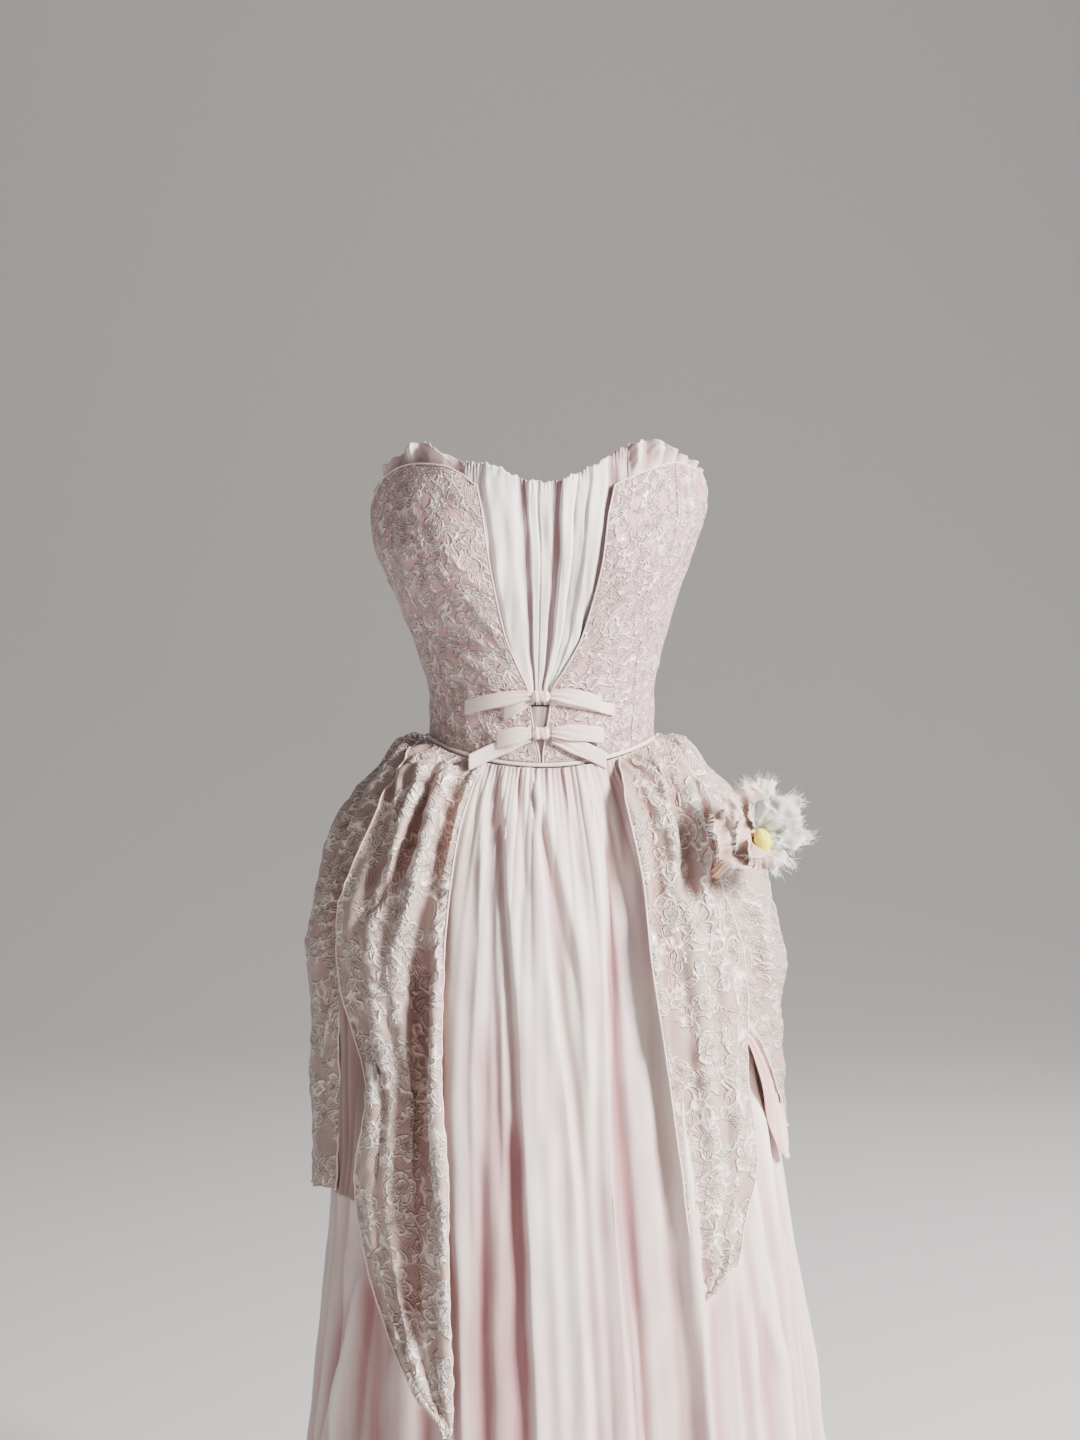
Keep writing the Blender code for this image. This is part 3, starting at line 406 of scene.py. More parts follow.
@dataclass
class Cloth:
    """A piece of cloth as a grid of points, with a tone at each that is mostly painted shade.

    Attributes:
        points: Points, rows up and columns towards +angle.
        tone: Depth of colour, from 0, pale, to 1, deep; mostly painted shade in folds and hollows and under
            edges, with some of the cloth's own colour.
    """

    points: Grid
    tone: Grid

    def steps(self, axis: int) -> Grid:
        """Distances from point to point along an axis."""
        return np.linalg.norm(np.diff(self.points, axis=axis), axis=-1)

    def across(self) -> Grid:
        """Metres along each row from the middle of the row."""
        run = np.concatenate([np.zeros((len(self.points), 1)), np.cumsum(self.steps(1), axis=1)], axis=1)
        return run - run[:, -1:] / 2

    def down(self) -> Grid:
        """Metres up the middle column, the same along each row."""
        columns = self.points.shape[1]
        run = np.concatenate([[0.0], np.cumsum(self.steps(0)[:, columns // 2])])
        return np.repeat(run[:, None], columns, axis=1)

    def outward(self) -> Grid:
        """Unit normals at the points."""
        normal = np.cross(np.gradient(self.points, axis=1), np.gradient(self.points, axis=0))
        long = np.linalg.norm(normal, axis=-1, keepdims=True)
        return normal / np.maximum(long, 1e-9)

    def shaped(self, lift: Grid, tone: Grid | float = 0.0) -> "Cloth":
        """The cloth moved out along its normals by a lift, with more tone, mostly painted shade."""
        return Cloth(self.points + self.outward() * lift[..., None], self.tone + tone)

    def folded(self, seen: Sequence[Fold]) -> "Cloth":
        """The cloth with folds where the picture shows them, as far as it faces the front, with painted shade
        in their troughs and painted highlights on their crests.
        """
        across, down = PictureFrame.places(self.points)
        ahead = swell(-self.outward()[..., 1] / 0.25)
        lift = np.zeros(across.shape)
        tone = np.zeros(across.shape)
        for fold in seen:
            strength = fold.shape(across, down) * ahead
            lift += fold.lift * strength
            tone += fold.tone * strength
        return self.shaped(lift, tone)

    def rippled(self, ripples: Ripples, share: Grid | float = 1.0) -> "Cloth":
        """The cloth with a share of a soft unevenness, with painted light on its ridges and painted shade in
        its hollows.
        """
        lift = ripples.at(self.across(), self.down()) * share
        return self.shaped(lift, -lift / max(ripples.height, 1e-6) * 0.04)

    def cut(self) -> tuple[Place, float]:
        """The greatest width and length of the cloth's flat cut, and its area."""
        along = np.diff(self.points, axis=1)[:-1]
        up = np.diff(self.points, axis=0)[:, :-1]
        area = float(np.linalg.norm(np.cross(along, up), axis=-1).sum())
        width = max(float(self.steps(1).sum(axis=1).max()), 0.0102)
        long = max(float(self.steps(0).sum(axis=0).max()), 0.0102)
        return (width, long), min(max(area, 0.32 * width * long), width * long)


def deselect() -> None:
    """Deselects every object."""
    bpy.ops.object.select_all(action="DESELECT")


def activate(piece: Piece) -> None:
    """Selects one piece alone and makes it the active one."""
    deselect()
    piece.select_set(True)
    bpy.context.view_layer.objects.active = piece


def link(name: str, data: bpy.types.ID) -> Piece:
    """A new object of the scene round some data."""
    piece = bpy.data.objects.new(name, data)
    bpy.context.collection.objects.link(piece)
    return piece


def apply_modifier(piece: Piece, kind: str, **settings: object) -> None:
    """Adds a modifier to a piece and applies it.

    Args:
        piece: The piece.
        kind: The modifier's type.
        **settings: Its settings.
    """
    activate(piece)
    modifier = piece.modifiers.new("finish", kind)
    for name, value in settings.items():
        setattr(modifier, name, value)
    bpy.ops.object.modifier_apply(modifier=modifier.name)
    piece.data.shade_smooth()


def colour_points(piece: Piece, tone: Grid) -> None:
    """Stores the depth of colour of a piece's points, which is mostly painted shade."""
    layer = piece.data.attributes.new("tone", "FLOAT", "POINT")
    layer.data.foreach_set("value", np.clip(tone, 0.0, 1.0).reshape(-1))
    piece.data.update()


def weave(name: str, cloth: Cloth, wall: float) -> Piece:
    """Makes a closed cloth wall whose outer face runs through a cloth's points.

    Args:
        name: Name of the piece.
        cloth: The cloth.
        wall: Its thickness.

    Returns:
        The piece, with a UV map in metres and its tone as an attribute.
    """
    rows, columns = cloth.points.shape[:2]
    deselect()
    bpy.ops.mesh.primitive_grid_add(x_subdivisions=columns - 1, y_subdivisions=rows - 1, size=1.0)
    piece = bpy.context.object
    mesh = piece.data
    piece.name = mesh.name = name
    mesh.vertices.foreach_set("co", cloth.points.reshape(-1))
    places = np.stack([cloth.across(), cloth.down()], axis=-1).reshape(-1, 2)
    corners = np.empty(len(mesh.loops), int)
    mesh.loops.foreach_get("vertex_index", corners)
    mesh.uv_layers[0].data.foreach_set("uv", places[corners].reshape(-1))
    colour_points(piece, cloth.tone)
    apply_modifier(piece, "SOLIDIFY", thickness=wall, offset=-1.0, use_quality_normals=True)
    return piece


def mould(name: str, shape: Callable[[Grid], tuple[Grid, Grid]]) -> Piece:
    """Moulds the primitive that was just added.

    Args:
        name: Name of the piece.
        shape: Gives its points and their tone from the primitive's points.

    Returns:
        The piece.
    """
    piece = bpy.context.object
    piece.name = name
    places = np.empty(len(piece.data.vertices) * 3)
    piece.data.vertices.foreach_get("co", places)
    points, tone = shape(places.reshape(-1, 3))
    piece.data.vertices.foreach_set("co", points.reshape(-1))
    colour_points(piece, tone)
    piece.data.shade_smooth()
    return piece


def tube(name: str, path: Grid, radius: float, closed: bool = False, sides: int = 2) -> Piece:
    """Makes a thin round edging along a path.

    Args:
        name: Name of the piece.
        path: Points of its middle line.
        radius: Its radius.
        closed: Whether it runs round in a ring.
        sides: How finely it is rounded.

    Returns:
        The piece, as a mesh.
    """
    curve = bpy.data.curves.new(name, "CURVE")
    curve.dimensions = "3D"
    curve.bevel_depth = radius
    curve.bevel_resolution = sides
    curve.use_fill_caps = not closed
    spline = curve.splines.new("POLY")
    spline.points.add(len(path) - 1)
    spline.points.foreach_set("co", np.concatenate([path, np.ones((len(path), 1))], axis=1).reshape(-1))
    spline.use_cyclic_u = closed
    activate(link(name, curve))
    bpy.ops.object.convert(target="MESH")
    piece = bpy.context.object
    piece.data.shade_smooth()
    return piece


def by_math(operation: str) -> Callable[..., "Value"]:
    """A method of Value that works with one Math node."""
    return lambda self, *others: self.math(operation, *others)


class Value:
    """A number in a material, which adds Math nodes as it is worked with."""

    def __init__(self, graph: "Graph", socket: Socket) -> None:
        """Wraps a socket of the graph."""
        self.graph = graph
        self.socket = socket

    def math(self, operation: str, *others: "Value | float") -> "Value":
        """Works with other numbers by a Math node's operation."""
        sockets = {0: self, **dict(enumerate(others, 1))}
        return self.graph.value("ShaderNodeMath", {"operation": operation}, sockets, 0)

    __add__ = __radd__ = by_math("ADD")
    __sub__ = by_math("SUBTRACT")
    __mul__ = __rmul__ = by_math("MULTIPLY")
    smallest = by_math("MINIMUM")
    largest = by_math("MAXIMUM")
    power = by_math("POWER")
    turn = by_math("ARCTAN2")
    size = by_math("ABSOLUTE")
    cosine = by_math("COSINE")
    sine = by_math("SINE")

    def __rsub__(self, other: float) -> "Value":
        """The difference the other way round."""
        return (self * -1.0) + other

    def between(self, low: "Value | float", high: "Value | float") -> "Value":
        """A smooth rise from 0 at low to 1 at high."""
        settings = {"interpolation_type": "SMOOTHSTEP"}
        return self.graph.value("ShaderNodeMapRange", settings, {0: self, 1: low, 2: high}, 0)

    def band(self, middle: "Value | float", width: float) -> "Value":
        """A soft band that is 1 at a middle value and 0 a width away from it."""
        return 1.0 - (self - middle).size().between(0.0, width)


class Graph:
    """A material's nodes, round one Principled shader."""

    def __init__(self, name: str) -> None:
        """Makes the material."""
        self.material = bpy.data.materials.new(name)
        self.material.use_nodes = True
        self.nodes = self.material.node_tree.nodes
        self.links = self.material.node_tree.links

    def feed(self, socket: Socket, value: object) -> None:
        """Sets a socket to a value, or links a number or another socket to it."""
        source = value.socket if isinstance(value, Value) else value
        if isinstance(source, Socket):
            self.links.new(source, socket)
        else:
            socket.default_value = source

    def node(self, kind: str, settings: dict[str, object], sockets: dict[object, object]) -> bpy.types.Node:
        """Adds a node.

        Args:
            kind: The node's type.
            settings: Its settings, which are set first.
            sockets: Values or links for its sockets, by name or number.

        Returns:
            The node.
        """
        made = self.nodes.new(kind)
        for name, value in settings.items():
            setattr(made, name, value)
        for name, value in sockets.items():
            self.feed(made.inputs[name], value)
        return made

    def value(
        self, kind: str, settings: dict[str, object], sockets: dict[object, object], output: object
    ) -> Value:
        """Adds a node as above and gives the output of that name or number."""
        return Value(self, self.node(kind, settings, sockets).outputs[output])

    def parts(self, kind: str, source: object) -> list[Value]:
        """The three numbers of a vector, for kind XYZ, or of a colour, for kind Color."""
        made = self.node("ShaderNodeSeparate" + kind, {}, {0: source})
        return [Value(self, output) for output in made.outputs]

    def blend(self, share: Value | float, first: object, second: object) -> Socket:
        """Mixes two colours or links, with that share of the second one."""
        first, second = [(*c, 1.0) if isinstance(c, tuple) else c for c in (first, second)]
        made = self.node("ShaderNodeMix", {"data_type": "RGBA"}, {0: share, 6: first, 7: second})
        return made.outputs[2]

    def vector(self, operation: str, first: object, second: object) -> Socket:
        """Works with two vectors by a Vector Math node's operation."""
        return self.node("ShaderNodeVectorMath", {"operation": operation}, {0: first, 1: second}).outputs[0]

    def uv(self) -> Socket:
        """The piece's own UV map, in metres."""
        return self.node("ShaderNodeUVMap", {}, {}).outputs[0]

    def tone(self) -> Value:
        """The piece's depth of colour, which is mostly painted shade."""
        return self.value("ShaderNodeAttribute", {"attribute_name": "tone"}, {}, "Fac")

    def noise(self, place: object, scale: float, detail: float = 2.0) -> Value:
        """A soft noise from 0 to 1, with that many cells to a metre and finer layers."""
        sockets = {"Vector": place, "Scale": scale, "Detail": detail}
        return self.value("ShaderNodeTexNoise", {}, sockets, "Fac")

    def finish(self, inputs: dict[str, object], height: object = None, lift: float = 0.0) -> Material:
        """Feeds the shader.

        Args:
            inputs: Values or links for its sockets.
            height: The relief, from 0 to 1.
            lift: Depth of the relief, in metres.

        Returns:
            The material.
        """
        shader = self.nodes["Principled BSDF"]
        for name, value in inputs.items():
            self.feed(shader.inputs[name], value)
        if height is not None:
            bump = self.node("ShaderNodeBump", {}, {"Strength": 1.0, "Distance": lift, "Height": height})
            self.links.new(bump.outputs[0], shader.inputs["Normal"])
        return self.material


@dataclass(frozen=True)
class Lace:
    """Corded floral lace over a lining.

    Attributes:
        name: Name of the material.
        ground: Colour of the net over its lining.
        deep: Colour of the ground in painted shade, where its tone is deep.
        thread: Colour of the cords and the flowers.
        thread_deep: Colour of the threads in painted shade, where the tone is deep.
        leaf: Breadth of a leaf.
        flower: Distance between flowers.
        cord: How broad the curling cords are.
        fill: How densely the leaves are filled.
        relief: How far the cords stand out.
        net_shown: How clearly the net shows.
        bare: Share of the ground that is left as plain net.
        crinkle: How crinkled it is between the cords.
        shift: Where the pattern starts.
        shine: How metallic the threads look.
        mesh: Width of two holes in the net.
    """

    name: str
    ground: Colour
    deep: Colour
    thread: Colour
    thread_deep: Colour
    leaf: float
    flower: float
    cord: float
    fill: float
    relief: float
    net_shown: float
    bare: float
    crinkle: float
    shift: float
    shine: float = 0.10
    mesh: float = 0.0068

    def warped(self, graph: Graph, place: object, scale: float, reach: float) -> Socket:
        """Places pushed about, up to that reach, by a noise of that scale."""
        noise = graph.node("ShaderNodeTexNoise", {}, {"Vector": place, "Scale": scale, "Detail": 2.0})
        swing = graph.vector("SUBTRACT", noise.outputs["Color"], (0.5, 0.5, 0.5))
        return graph.vector("ADD", place, graph.vector("MULTIPLY", swing, (reach, reach, 0.0)))

    def cells(self, graph: Graph, place: object, breadth: float) -> tuple[Value, Value, Value]:
        """Scattered cells of a breadth.

        Args:
            graph: The material's graph.
            place: Where they are read.
            breadth: Their breadth.

        Returns:
            The turn round a cell's middle, the distance from it and a chance number of the cell.
        """
        sockets = {"Vector": place, "Scale": 1.0 / breadth, "Randomness": 0.9}
        cells = graph.node("ShaderNodeTexVoronoi", {"voronoi_dimensions": "2D"}, sockets)
        x, y, _ = graph.parts("XYZ", graph.vector("SUBTRACT", place, cells.outputs["Position"]))
        start, luck, _ = graph.parts("Color", cells.outputs["Color"])
        return y.turn(x) + start * math.tau, Value(graph, cells.outputs["Distance"]), luck

    def leaves(self, graph: Graph, place: object) -> tuple[Value, Value]:
        """The cords round pointed leaves, each turned its own way, and the leaves filled with ribs."""
        turn, far, luck = self.cells(graph, place, self.leaf)
        along, aside = turn.cosine() * far, (turn.sine() * far).size()
        body = (1.0 - (along * along) * 3.6) * (luck * 0.12 + 0.20) - aside
        ribs = ((along.size() - aside * 0.7) * 52.0).cosine() * 0.30 + 0.70
        cords = body.band(0.02, 0.085).largest(aside.band(0.0, 0.04) * body.between(0.0, 0.05))
        return cords, body.between(0.0, 0.03) * ribs

    def scrolls(self, graph: Graph, place: object) -> tuple[Value, Value]:
        """The cords that curl round filled shapes, and the shapes."""
        level = graph.noise(place, 0.62 / self.leaf, 1.0)
        other = graph.noise(graph.vector("ADD", place, (3.0, 5.0, 0.0)), 0.80 / self.leaf, 1.0)
        cords = level.band(0.56, self.cord).largest(other.band(0.47, self.cord) * level.between(0.36, 0.40))
        return cords, level.between(0.55, 0.57) * ((other * 150.0).cosine() * 0.25 + 0.60)

    def flowers(self, graph: Graph, place: object) -> tuple[Value, Value, Value]:
        """The cords round five-petalled flowers, their petals, and where the flowers are."""
        turn, far, luck = self.cells(graph, place, self.flower)
        lobes = (turn * 2.5).cosine().size()
        reach = (lobes.power(0.6) * 0.15 + 0.17) * (luck * 0.4 + 0.8)
        cords = far.band(reach, 0.055).largest(far.band(reach * 0.45, 0.035))
        cords = cords.largest(1.0 - lobes.between(0.05, 0.20)) * (far - reach).between(0.06, 0.03)
        return cords, (turn * 20.0).cosine() * 0.3 + 0.5, (reach - far).between(0.0, 0.03)

    def net(self, graph: Graph, place: object) -> Value:
        """The fine net between the flowers."""
        x, y = [part * (math.tau / self.mesh) for part in graph.parts("XYZ", place)[:2]]
        return (1.0 - ((x + y).sine() * (x - y).sine()).size()).between(0.30, 0.80)

    def material(self) -> Material:
        """The lace's material."""
        graph = Graph(self.name)
        place = graph.vector("ADD", graph.uv(), (self.shift, self.shift * 0.7, 0.0))
        bent = self.warped(graph, self.warped(graph, place, 26.0, 0.022), 95.0, 0.0065)
        leaf_cords, leaves = self.leaves(graph, bent)
        scroll_cords, scrolls = self.scrolls(graph, bent)
        petal_cords, petals, flower = self.flowers(graph, bent)
        worked = graph.noise(place, 24.0, 1.0).between(self.bare, self.bare + 0.05)
        free = (1.0 - flower) * worked
        cords = (leaf_cords.largest(scroll_cords) * free).largest(petal_cords).smallest(1.0)
        fill = (leaves.largest(scrolls * 0.6) * free).largest(petals * flower)
        net = self.net(graph, place)
        # The tone, mostly painted shade, darkens the ground and the threads towards their deep colours.
        tone = graph.tone()
        thread = graph.blend(tone, self.thread, self.thread_deep)
        ground = graph.blend(tone, self.ground, self.deep)
        glint = graph.noise(place, 240.0, 2.0) * 1.1 + 0.42
        shown = (cords * glint).largest(fill * self.fill).largest(net * self.net_shown).smallest(1.0)
        crinkle = graph.noise(bent, 130.0, 1.0)
        inputs = {
            "Base Color": graph.blend(shown, ground, thread), "Roughness": 0.60 - shown * 0.36,
            "Metallic": (cords * self.shine) * (1.0 - tone * 0.7), "Sheen Weight": 0.10,
        }
        height = cords * 0.70 + fill * 0.30 + crinkle * self.crinkle + net * 0.05
        return graph.finish(inputs, height, self.relief)


@dataclass(frozen=True)
class Sheer:
    """Fine chiffon or organza whose colour deepens in its folds with painted shade.

    Attributes:
        name: Name of the material.
        pale: Colour on its ridges, where no painted shade falls.
        deep: Colour of the painted shade in its folds.
        tint: A second pale colour that comes in patches.
        streak: How strongly it is streaked down its length.
        alpha: How much it hides what is behind it.
    """

    name: str
    pale: Colour
    deep: Colour
    tint: Colour
    streak: float
    alpha: float = 1.0

    def material(self) -> Material:
        """The sheer cloth's material."""
        graph = Graph(self.name)
        place = graph.uv()
        streaks = graph.noise(graph.vector("MULTIPLY", place, (1.0, 0.06, 1.0)), 110.0, 3.0)
        clouds = graph.noise(graph.vector("MULTIPLY", place, (1.0, 0.22, 1.0)), 24.0)
        # The tone, mostly painted shade, with streaks down the cloth, mixes the pale colour into the deep
        # one.
        tone = (graph.tone() + (streaks - 0.5) * self.streak).largest(0.0).smallest(1.0)
        light = graph.blend(clouds.between(0.35, 0.7), self.pale, self.tint)
        grain = graph.noise(place, 1400.0, 1.0)
        colour = graph.blend(tone, light, self.deep)
        inputs = {"Base Color": colour, "Roughness": 0.62, "Sheen Weight": 0.35, "Alpha": self.alpha}
        return graph.finish(inputs, streaks * 0.75 + grain * 0.25, 0.0006)


@dataclass(frozen=True)
class Satin:
    """Smooth woven ribbon, satin or plain cloth.

    Attributes:
        name: Name of the material.
        colour: Its colour.
        deep: Its colour in the painted shade of folds.
        roughness: Its roughness.
    """

    name: str
    colour: Colour
    deep: Colour
    roughness: float = 0.45

    def material(self) -> Material:
        """The satin's material."""
        graph = Graph(self.name)
        place = graph.node("ShaderNodeTexCoord", {}, {}).outputs["Object"]
        # The tone, mostly painted shade, with a random mottle, mixes the colour into the deep one.
        tone = (graph.tone() + (graph.noise(place, 120.0) - 0.5) * 0.30).largest(0.0).smallest(1.0)
        colour = graph.blend(tone, self.colour, self.deep)
        inputs = {"Base Color": colour, "Roughness": self.roughness, "Sheen Weight": 0.25}
        return graph.finish(inputs, graph.noise(place, 900.0, 1.0), 0.0002)


BODICE_LACE = Lace(
    "bodice_lace", (0.56, 0.315, 0.33), (0.33, 0.15, 0.16), (1.0, 0.90, 0.86), (0.74, 0.50, 0.49),
    leaf=0.0120, flower=0.034, cord=0.050, fill=0.58, relief=0.0027, net_shown=0.16, bare=0.32, crinkle=0.45,
    shift=0.0,
)
DRAPE_LACE = Lace(
    "drape_lace", (0.43, 0.28, 0.26), (0.23, 0.115, 0.10), (1.0, 0.95, 0.88), (0.70, 0.46, 0.41),
    leaf=0.0155, flower=0.047, cord=0.056, fill=0.66, relief=0.0024, net_shown=0.26, bare=0.40, crinkle=0.15,
    shift=0.31,
)
SKIRT_CHIFFON = Sheer("skirt_chiffon", (0.89, 0.82, 0.76), (0.38, 0.17, 0.18), (0.79, 0.61, 0.64), 0.36)
VESTEE_CHIFFON = Sheer("vestee_chiffon", (0.94, 0.92, 0.87), (0.34, 0.21, 0.23), (0.92, 0.84, 0.80), 0.20)
FRILL_CHIFFON = Sheer("frill_chiffon", (0.93, 0.82, 0.80), (0.38, 0.20, 0.21), (0.88, 0.72, 0.71), 0.45, 0.86)
PEACH_LINING = Sheer("peach_lining", (0.88, 0.64, 0.58), (0.52, 0.27, 0.23), (0.82, 0.54, 0.50), 0.3)
# The peach lining darkened, a painted-shade copy for the lining on the left side, which lies in shade.
SHADED_LINING = Sheer("shaded_lining", (0.40, 0.27, 0.26), (0.19, 0.10, 0.095), (0.33, 0.21, 0.20), 0.3)
PINK_RIBBON = Satin("pink_ribbon", (0.95, 0.80, 0.76), (0.58, 0.34, 0.34))
PALE_EDGING = Satin("pale_edging", (0.90, 0.72, 0.70), (0.62, 0.40, 0.40))
GREY_SATIN = Satin("grey_satin", (0.47, 0.385, 0.39), (0.24, 0.17, 0.18), 0.35)
WHITE_ORGANZA = Sheer("white_organza", (0.66, 0.65, 0.64), (0.33, 0.27, 0.26), (0.46, 0.58, 0.55), 0.3, 0.86)
TAN_ORGANZA = Sheer("tan_organza", (0.74, 0.55, 0.50), (0.38, 0.24, 0.19), (0.64, 0.45, 0.36), 0.3, 0.90)
PEACH_STEM = Satin("peach_stem", (0.90, 0.56, 0.38), (0.60, 0.34, 0.22), 0.6)
YELLOW_PETAL = Satin("yellow_petal", (0.80, 0.80, 0.06), (0.50, 0.46, 0.04), 0.6)
THREAD = Satin("frayed_thread", (0.86, 0.84, 0.82), (0.6, 0.55, 0.52), 0.6)


def dress(piece: Piece, finish: Lace | Sheer | Satin, node: str = "") -> Piece:
    """Gives a piece its finish and ties it to the frame.

    Args:
        piece: The piece.
        finish: Its finish.
        node: The plain solid that it stands for.

    Returns:
        The piece.
    """
    piece.data.materials.clear()
    piece.data.materials.append(bpy.data.materials.get(finish.name) or finish.material())
    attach(piece, "root")
    if node:
        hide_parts(node)
    log.info("%s: %d faces", piece.name, len(piece.data.polygons))
    return piece


@dataclass(frozen=True)
class Sewing:
    """How the sheets of one cloth are made.

    Attributes:
        prefix: Start of their names, before the plain solid's.
        finish: Their finish.
        slot: A name for the cloth; not used.
        held: How they are held; not used.
        rests_on: What they lie on or hang from; not used.
        wall: Their thickness.
        edging: Radius of their rolled edges.
    """

    prefix: str
    finish: Lace | Sheer | Satin
    slot: Slot
    held: Held
    rests_on: tuple[str, ...]
    wall: float = FINE_WALL
    edging: float = 0.0

    def sheet(self, node: str, cloth: Cloth, edges: dict[str, Grid] | None = None) -> Piece:
        """Makes a sheet with its rolled edges, dresses it and works out its cut, which nothing uses.

        Args:
            node: The plain solid that it stands for.
            cloth: The cloth.
            edges: Paths of its rolled edges, by the start of their names.

        Returns:
            The sheet.
        """
        piece = dress(weave(self.prefix + node, cloth, self.wall), self.finish, node)
        rolled = [tube(start + node, path, self.edging) for start, path in (edges or {}).items()]
        for edge in rolled:
            dress(edge, PALE_EDGING)
        flat, area = cloth.cut()
        return piece


# Folds of the bodice; their tone is painted shade in the troughs and painted highlight on the ridges.
BODICE_FOLDS = folds(
    (0.0024, 4, 5, -0.1, 405, 538, 405, 562, 412, 592), (-0.0028, 4, 6, 0.3, 412, 545, 417, 575, 428, 604),
    (-0.0022, 8, 9, 0.12, 420, 525, 441, 578, 457, 617, 466, 650),
    (0.0014, 5, 5, -0.05, 436, 560, 452, 600, 470, 640), (-0.001, 6, 6, 0.08, 430, 640, 438, 680, 440, 730),
    (0.001, 6, 6, 0.0, 462, 650, 468, 690, 466, 735), (-0.0014, 8, 8, 0.08, 640, 560, 634, 610, 628, 665),
    (0.0012, 6, 6, -0.05, 668, 520, 655, 560, 650, 600), (0.001, 6, 6, 0.0, 610, 620, 600, 660, 598, 690),
    (-0.0012, 5, 5, 0.1, 696, 520, 690, 545, 684, 575),
)


@dataclass
class Bodice:
    """The lace bodice: six panels and the lapped placket of the centre back.

    Attributes:
        front: Columns and rows of a front panel's grid.
        other: Columns and rows of a side or back panel's grid.
        gap: Degrees from a seam's middle to a panel.
        seam_dip: How far a seam sinks in.
        placket_top: Height of the placket's top.
        placket: Half-angle of the placket.
        sewing: How the panels are made.
    """

    front: tuple[int, int] = (64, 96)
    other: tuple[int, int] = (40, 70)
    gap: float = 0.02
    seam_dip: float = 0.0005
    placket_top: float = 0.1675
    placket: float = 4.5
    sewing: Sewing = Sewing("lace_", BODICE_LACE, Slot.LACE, Held.STRETCHED, ("piping",), WALL, 0.0007)

    def panel(self, name: str, near: float | None, far: float | None, seed: int) -> Piece:
        """One lace panel.

        Args:
            name: Name of the plain solid that it stands for.
            near: Angle of its near seam, or None at the V's edge.
            far: Angle of its far seam, or None at the V's edge.
            seed: Number that sets its unevenness.

        Returns:
            The panel.
        """

        def between(height: Grid, share: Grid) -> Grid:
            """Angles at heights and shares of the panel's width."""
            start = front_edge(1, height) if near is None else np.full(np.shape(height), near + self.gap)
            end = front_edge(-1, height) if far is None else np.full(np.shape(height), far - self.gap)
            return mix(start, end, share)

        is_front = near is None or far is None
        share, up = shares(*(self.front if is_front else self.other))
        bottom = waist_height(between(np.full(1, WAIST_LEVEL), share)) + PIPING_RADIUS + SEAM_GAP
        height = mix(bottom, LACE_TOP.at(between(np.full(1, BUST_TOP), share)), up)
        cloth = Cloth(body_points(between(height, share), height), np.full(share.shape, 0.18))
        run = cloth.across()
        to_side = np.minimum(run - run[:, :1], run[:, -1:] - run)
        cloth = cloth.shaped(-self.seam_dip * hump(to_side, 0.0018), 0.12 * hump(to_side, 0.0012))
        cloth = cloth.rippled(Ripples(0.0009, 0.050, 0.014, seed), swell(to_side / 0.012))
        cloth = cloth.folded(BODICE_FOLDS)
        edges = {"edge_top_": cloth.points[-1]}
        if is_front:
            edges["edge_front_"] = cloth.points[:, 0 if near is None else -1]
        return self.sewing.sheet(name, cloth, edges)

    def back_placket(self) -> Piece:
        """The lapped placket of the centre back."""
        angles = np.linspace(180 - self.placket, 180 + self.placket, 13)
        angle, up = np.meshgrid(angles, np.linspace(0, 1, self.other[1] + 1))
        height = mix(waist_height(np.full(1, 180.0)) + PIPING_RADIUS + SEAM_GAP, self.placket_top, up)
        points = body_points(np.where(angle > 180, angle - 360, angle), height, WALL + SEAM_GAP)
        cloth = Cloth(points, 0.18 + 0.30 * hump((np.abs(angle - 180) - self.placket), 0.7))
        return replace(self.sewing, rests_on=("lace_bodice_back_left",)).sheet("back_placket", cloth)

    def build(self) -> list[Piece]:
        """Builds the whole bodice."""
        return [
            self.panel("bodice_front_left", PRINCESS_LEFT, None, 3),
            self.panel("bodice_front_right", None, PRINCESS_RIGHT, 5),
            self.panel("bodice_side_left", -SIDE_SEAM, PRINCESS_LEFT, 7),
            self.panel("bodice_side_right", PRINCESS_RIGHT, SIDE_SEAM, 9),
            self.panel("bodice_back_left", -180.0, -SIDE_SEAM, 11),
            self.panel("bodice_back_right", SIDE_SEAM, 180.0, 13),
            self.back_placket(),
        ]


class Pleat(NamedTuple):
    """A pleat of the vestee: its width, how far it stands out, and its painted shade on both sides."""

    width: float
    lift: float
    shade_left: float
    shade_right: float


# Dark pleats carry painted shade, in the troughs and beside the lace edges; pale ones are the lit ridges.
VESTEE_PLEATS = tuple(
    Pleat(*row)
    for row in (
        (9, 0.0004, 0.6, 0.6), (8, 0.0008, 0.62, 0.4), (34, 0.0034, 0.0, 0.12), (6, -0.0018, 1.0, 0.9),
        (10, 0.0024, 0.02, 0.12), (13, 0.002, 0.1, 0.44), (8, -0.0022, 1.0, 0.95), (14, 0.0036, 0.0, 0.1),
        (11, 0.0008, 0.42, 0.36), (18, 0.003, 0.04, 0.28), (9, -0.001, 0.85, 1.0), (9, 0.0002, 0.85, 0.65),
    )
)


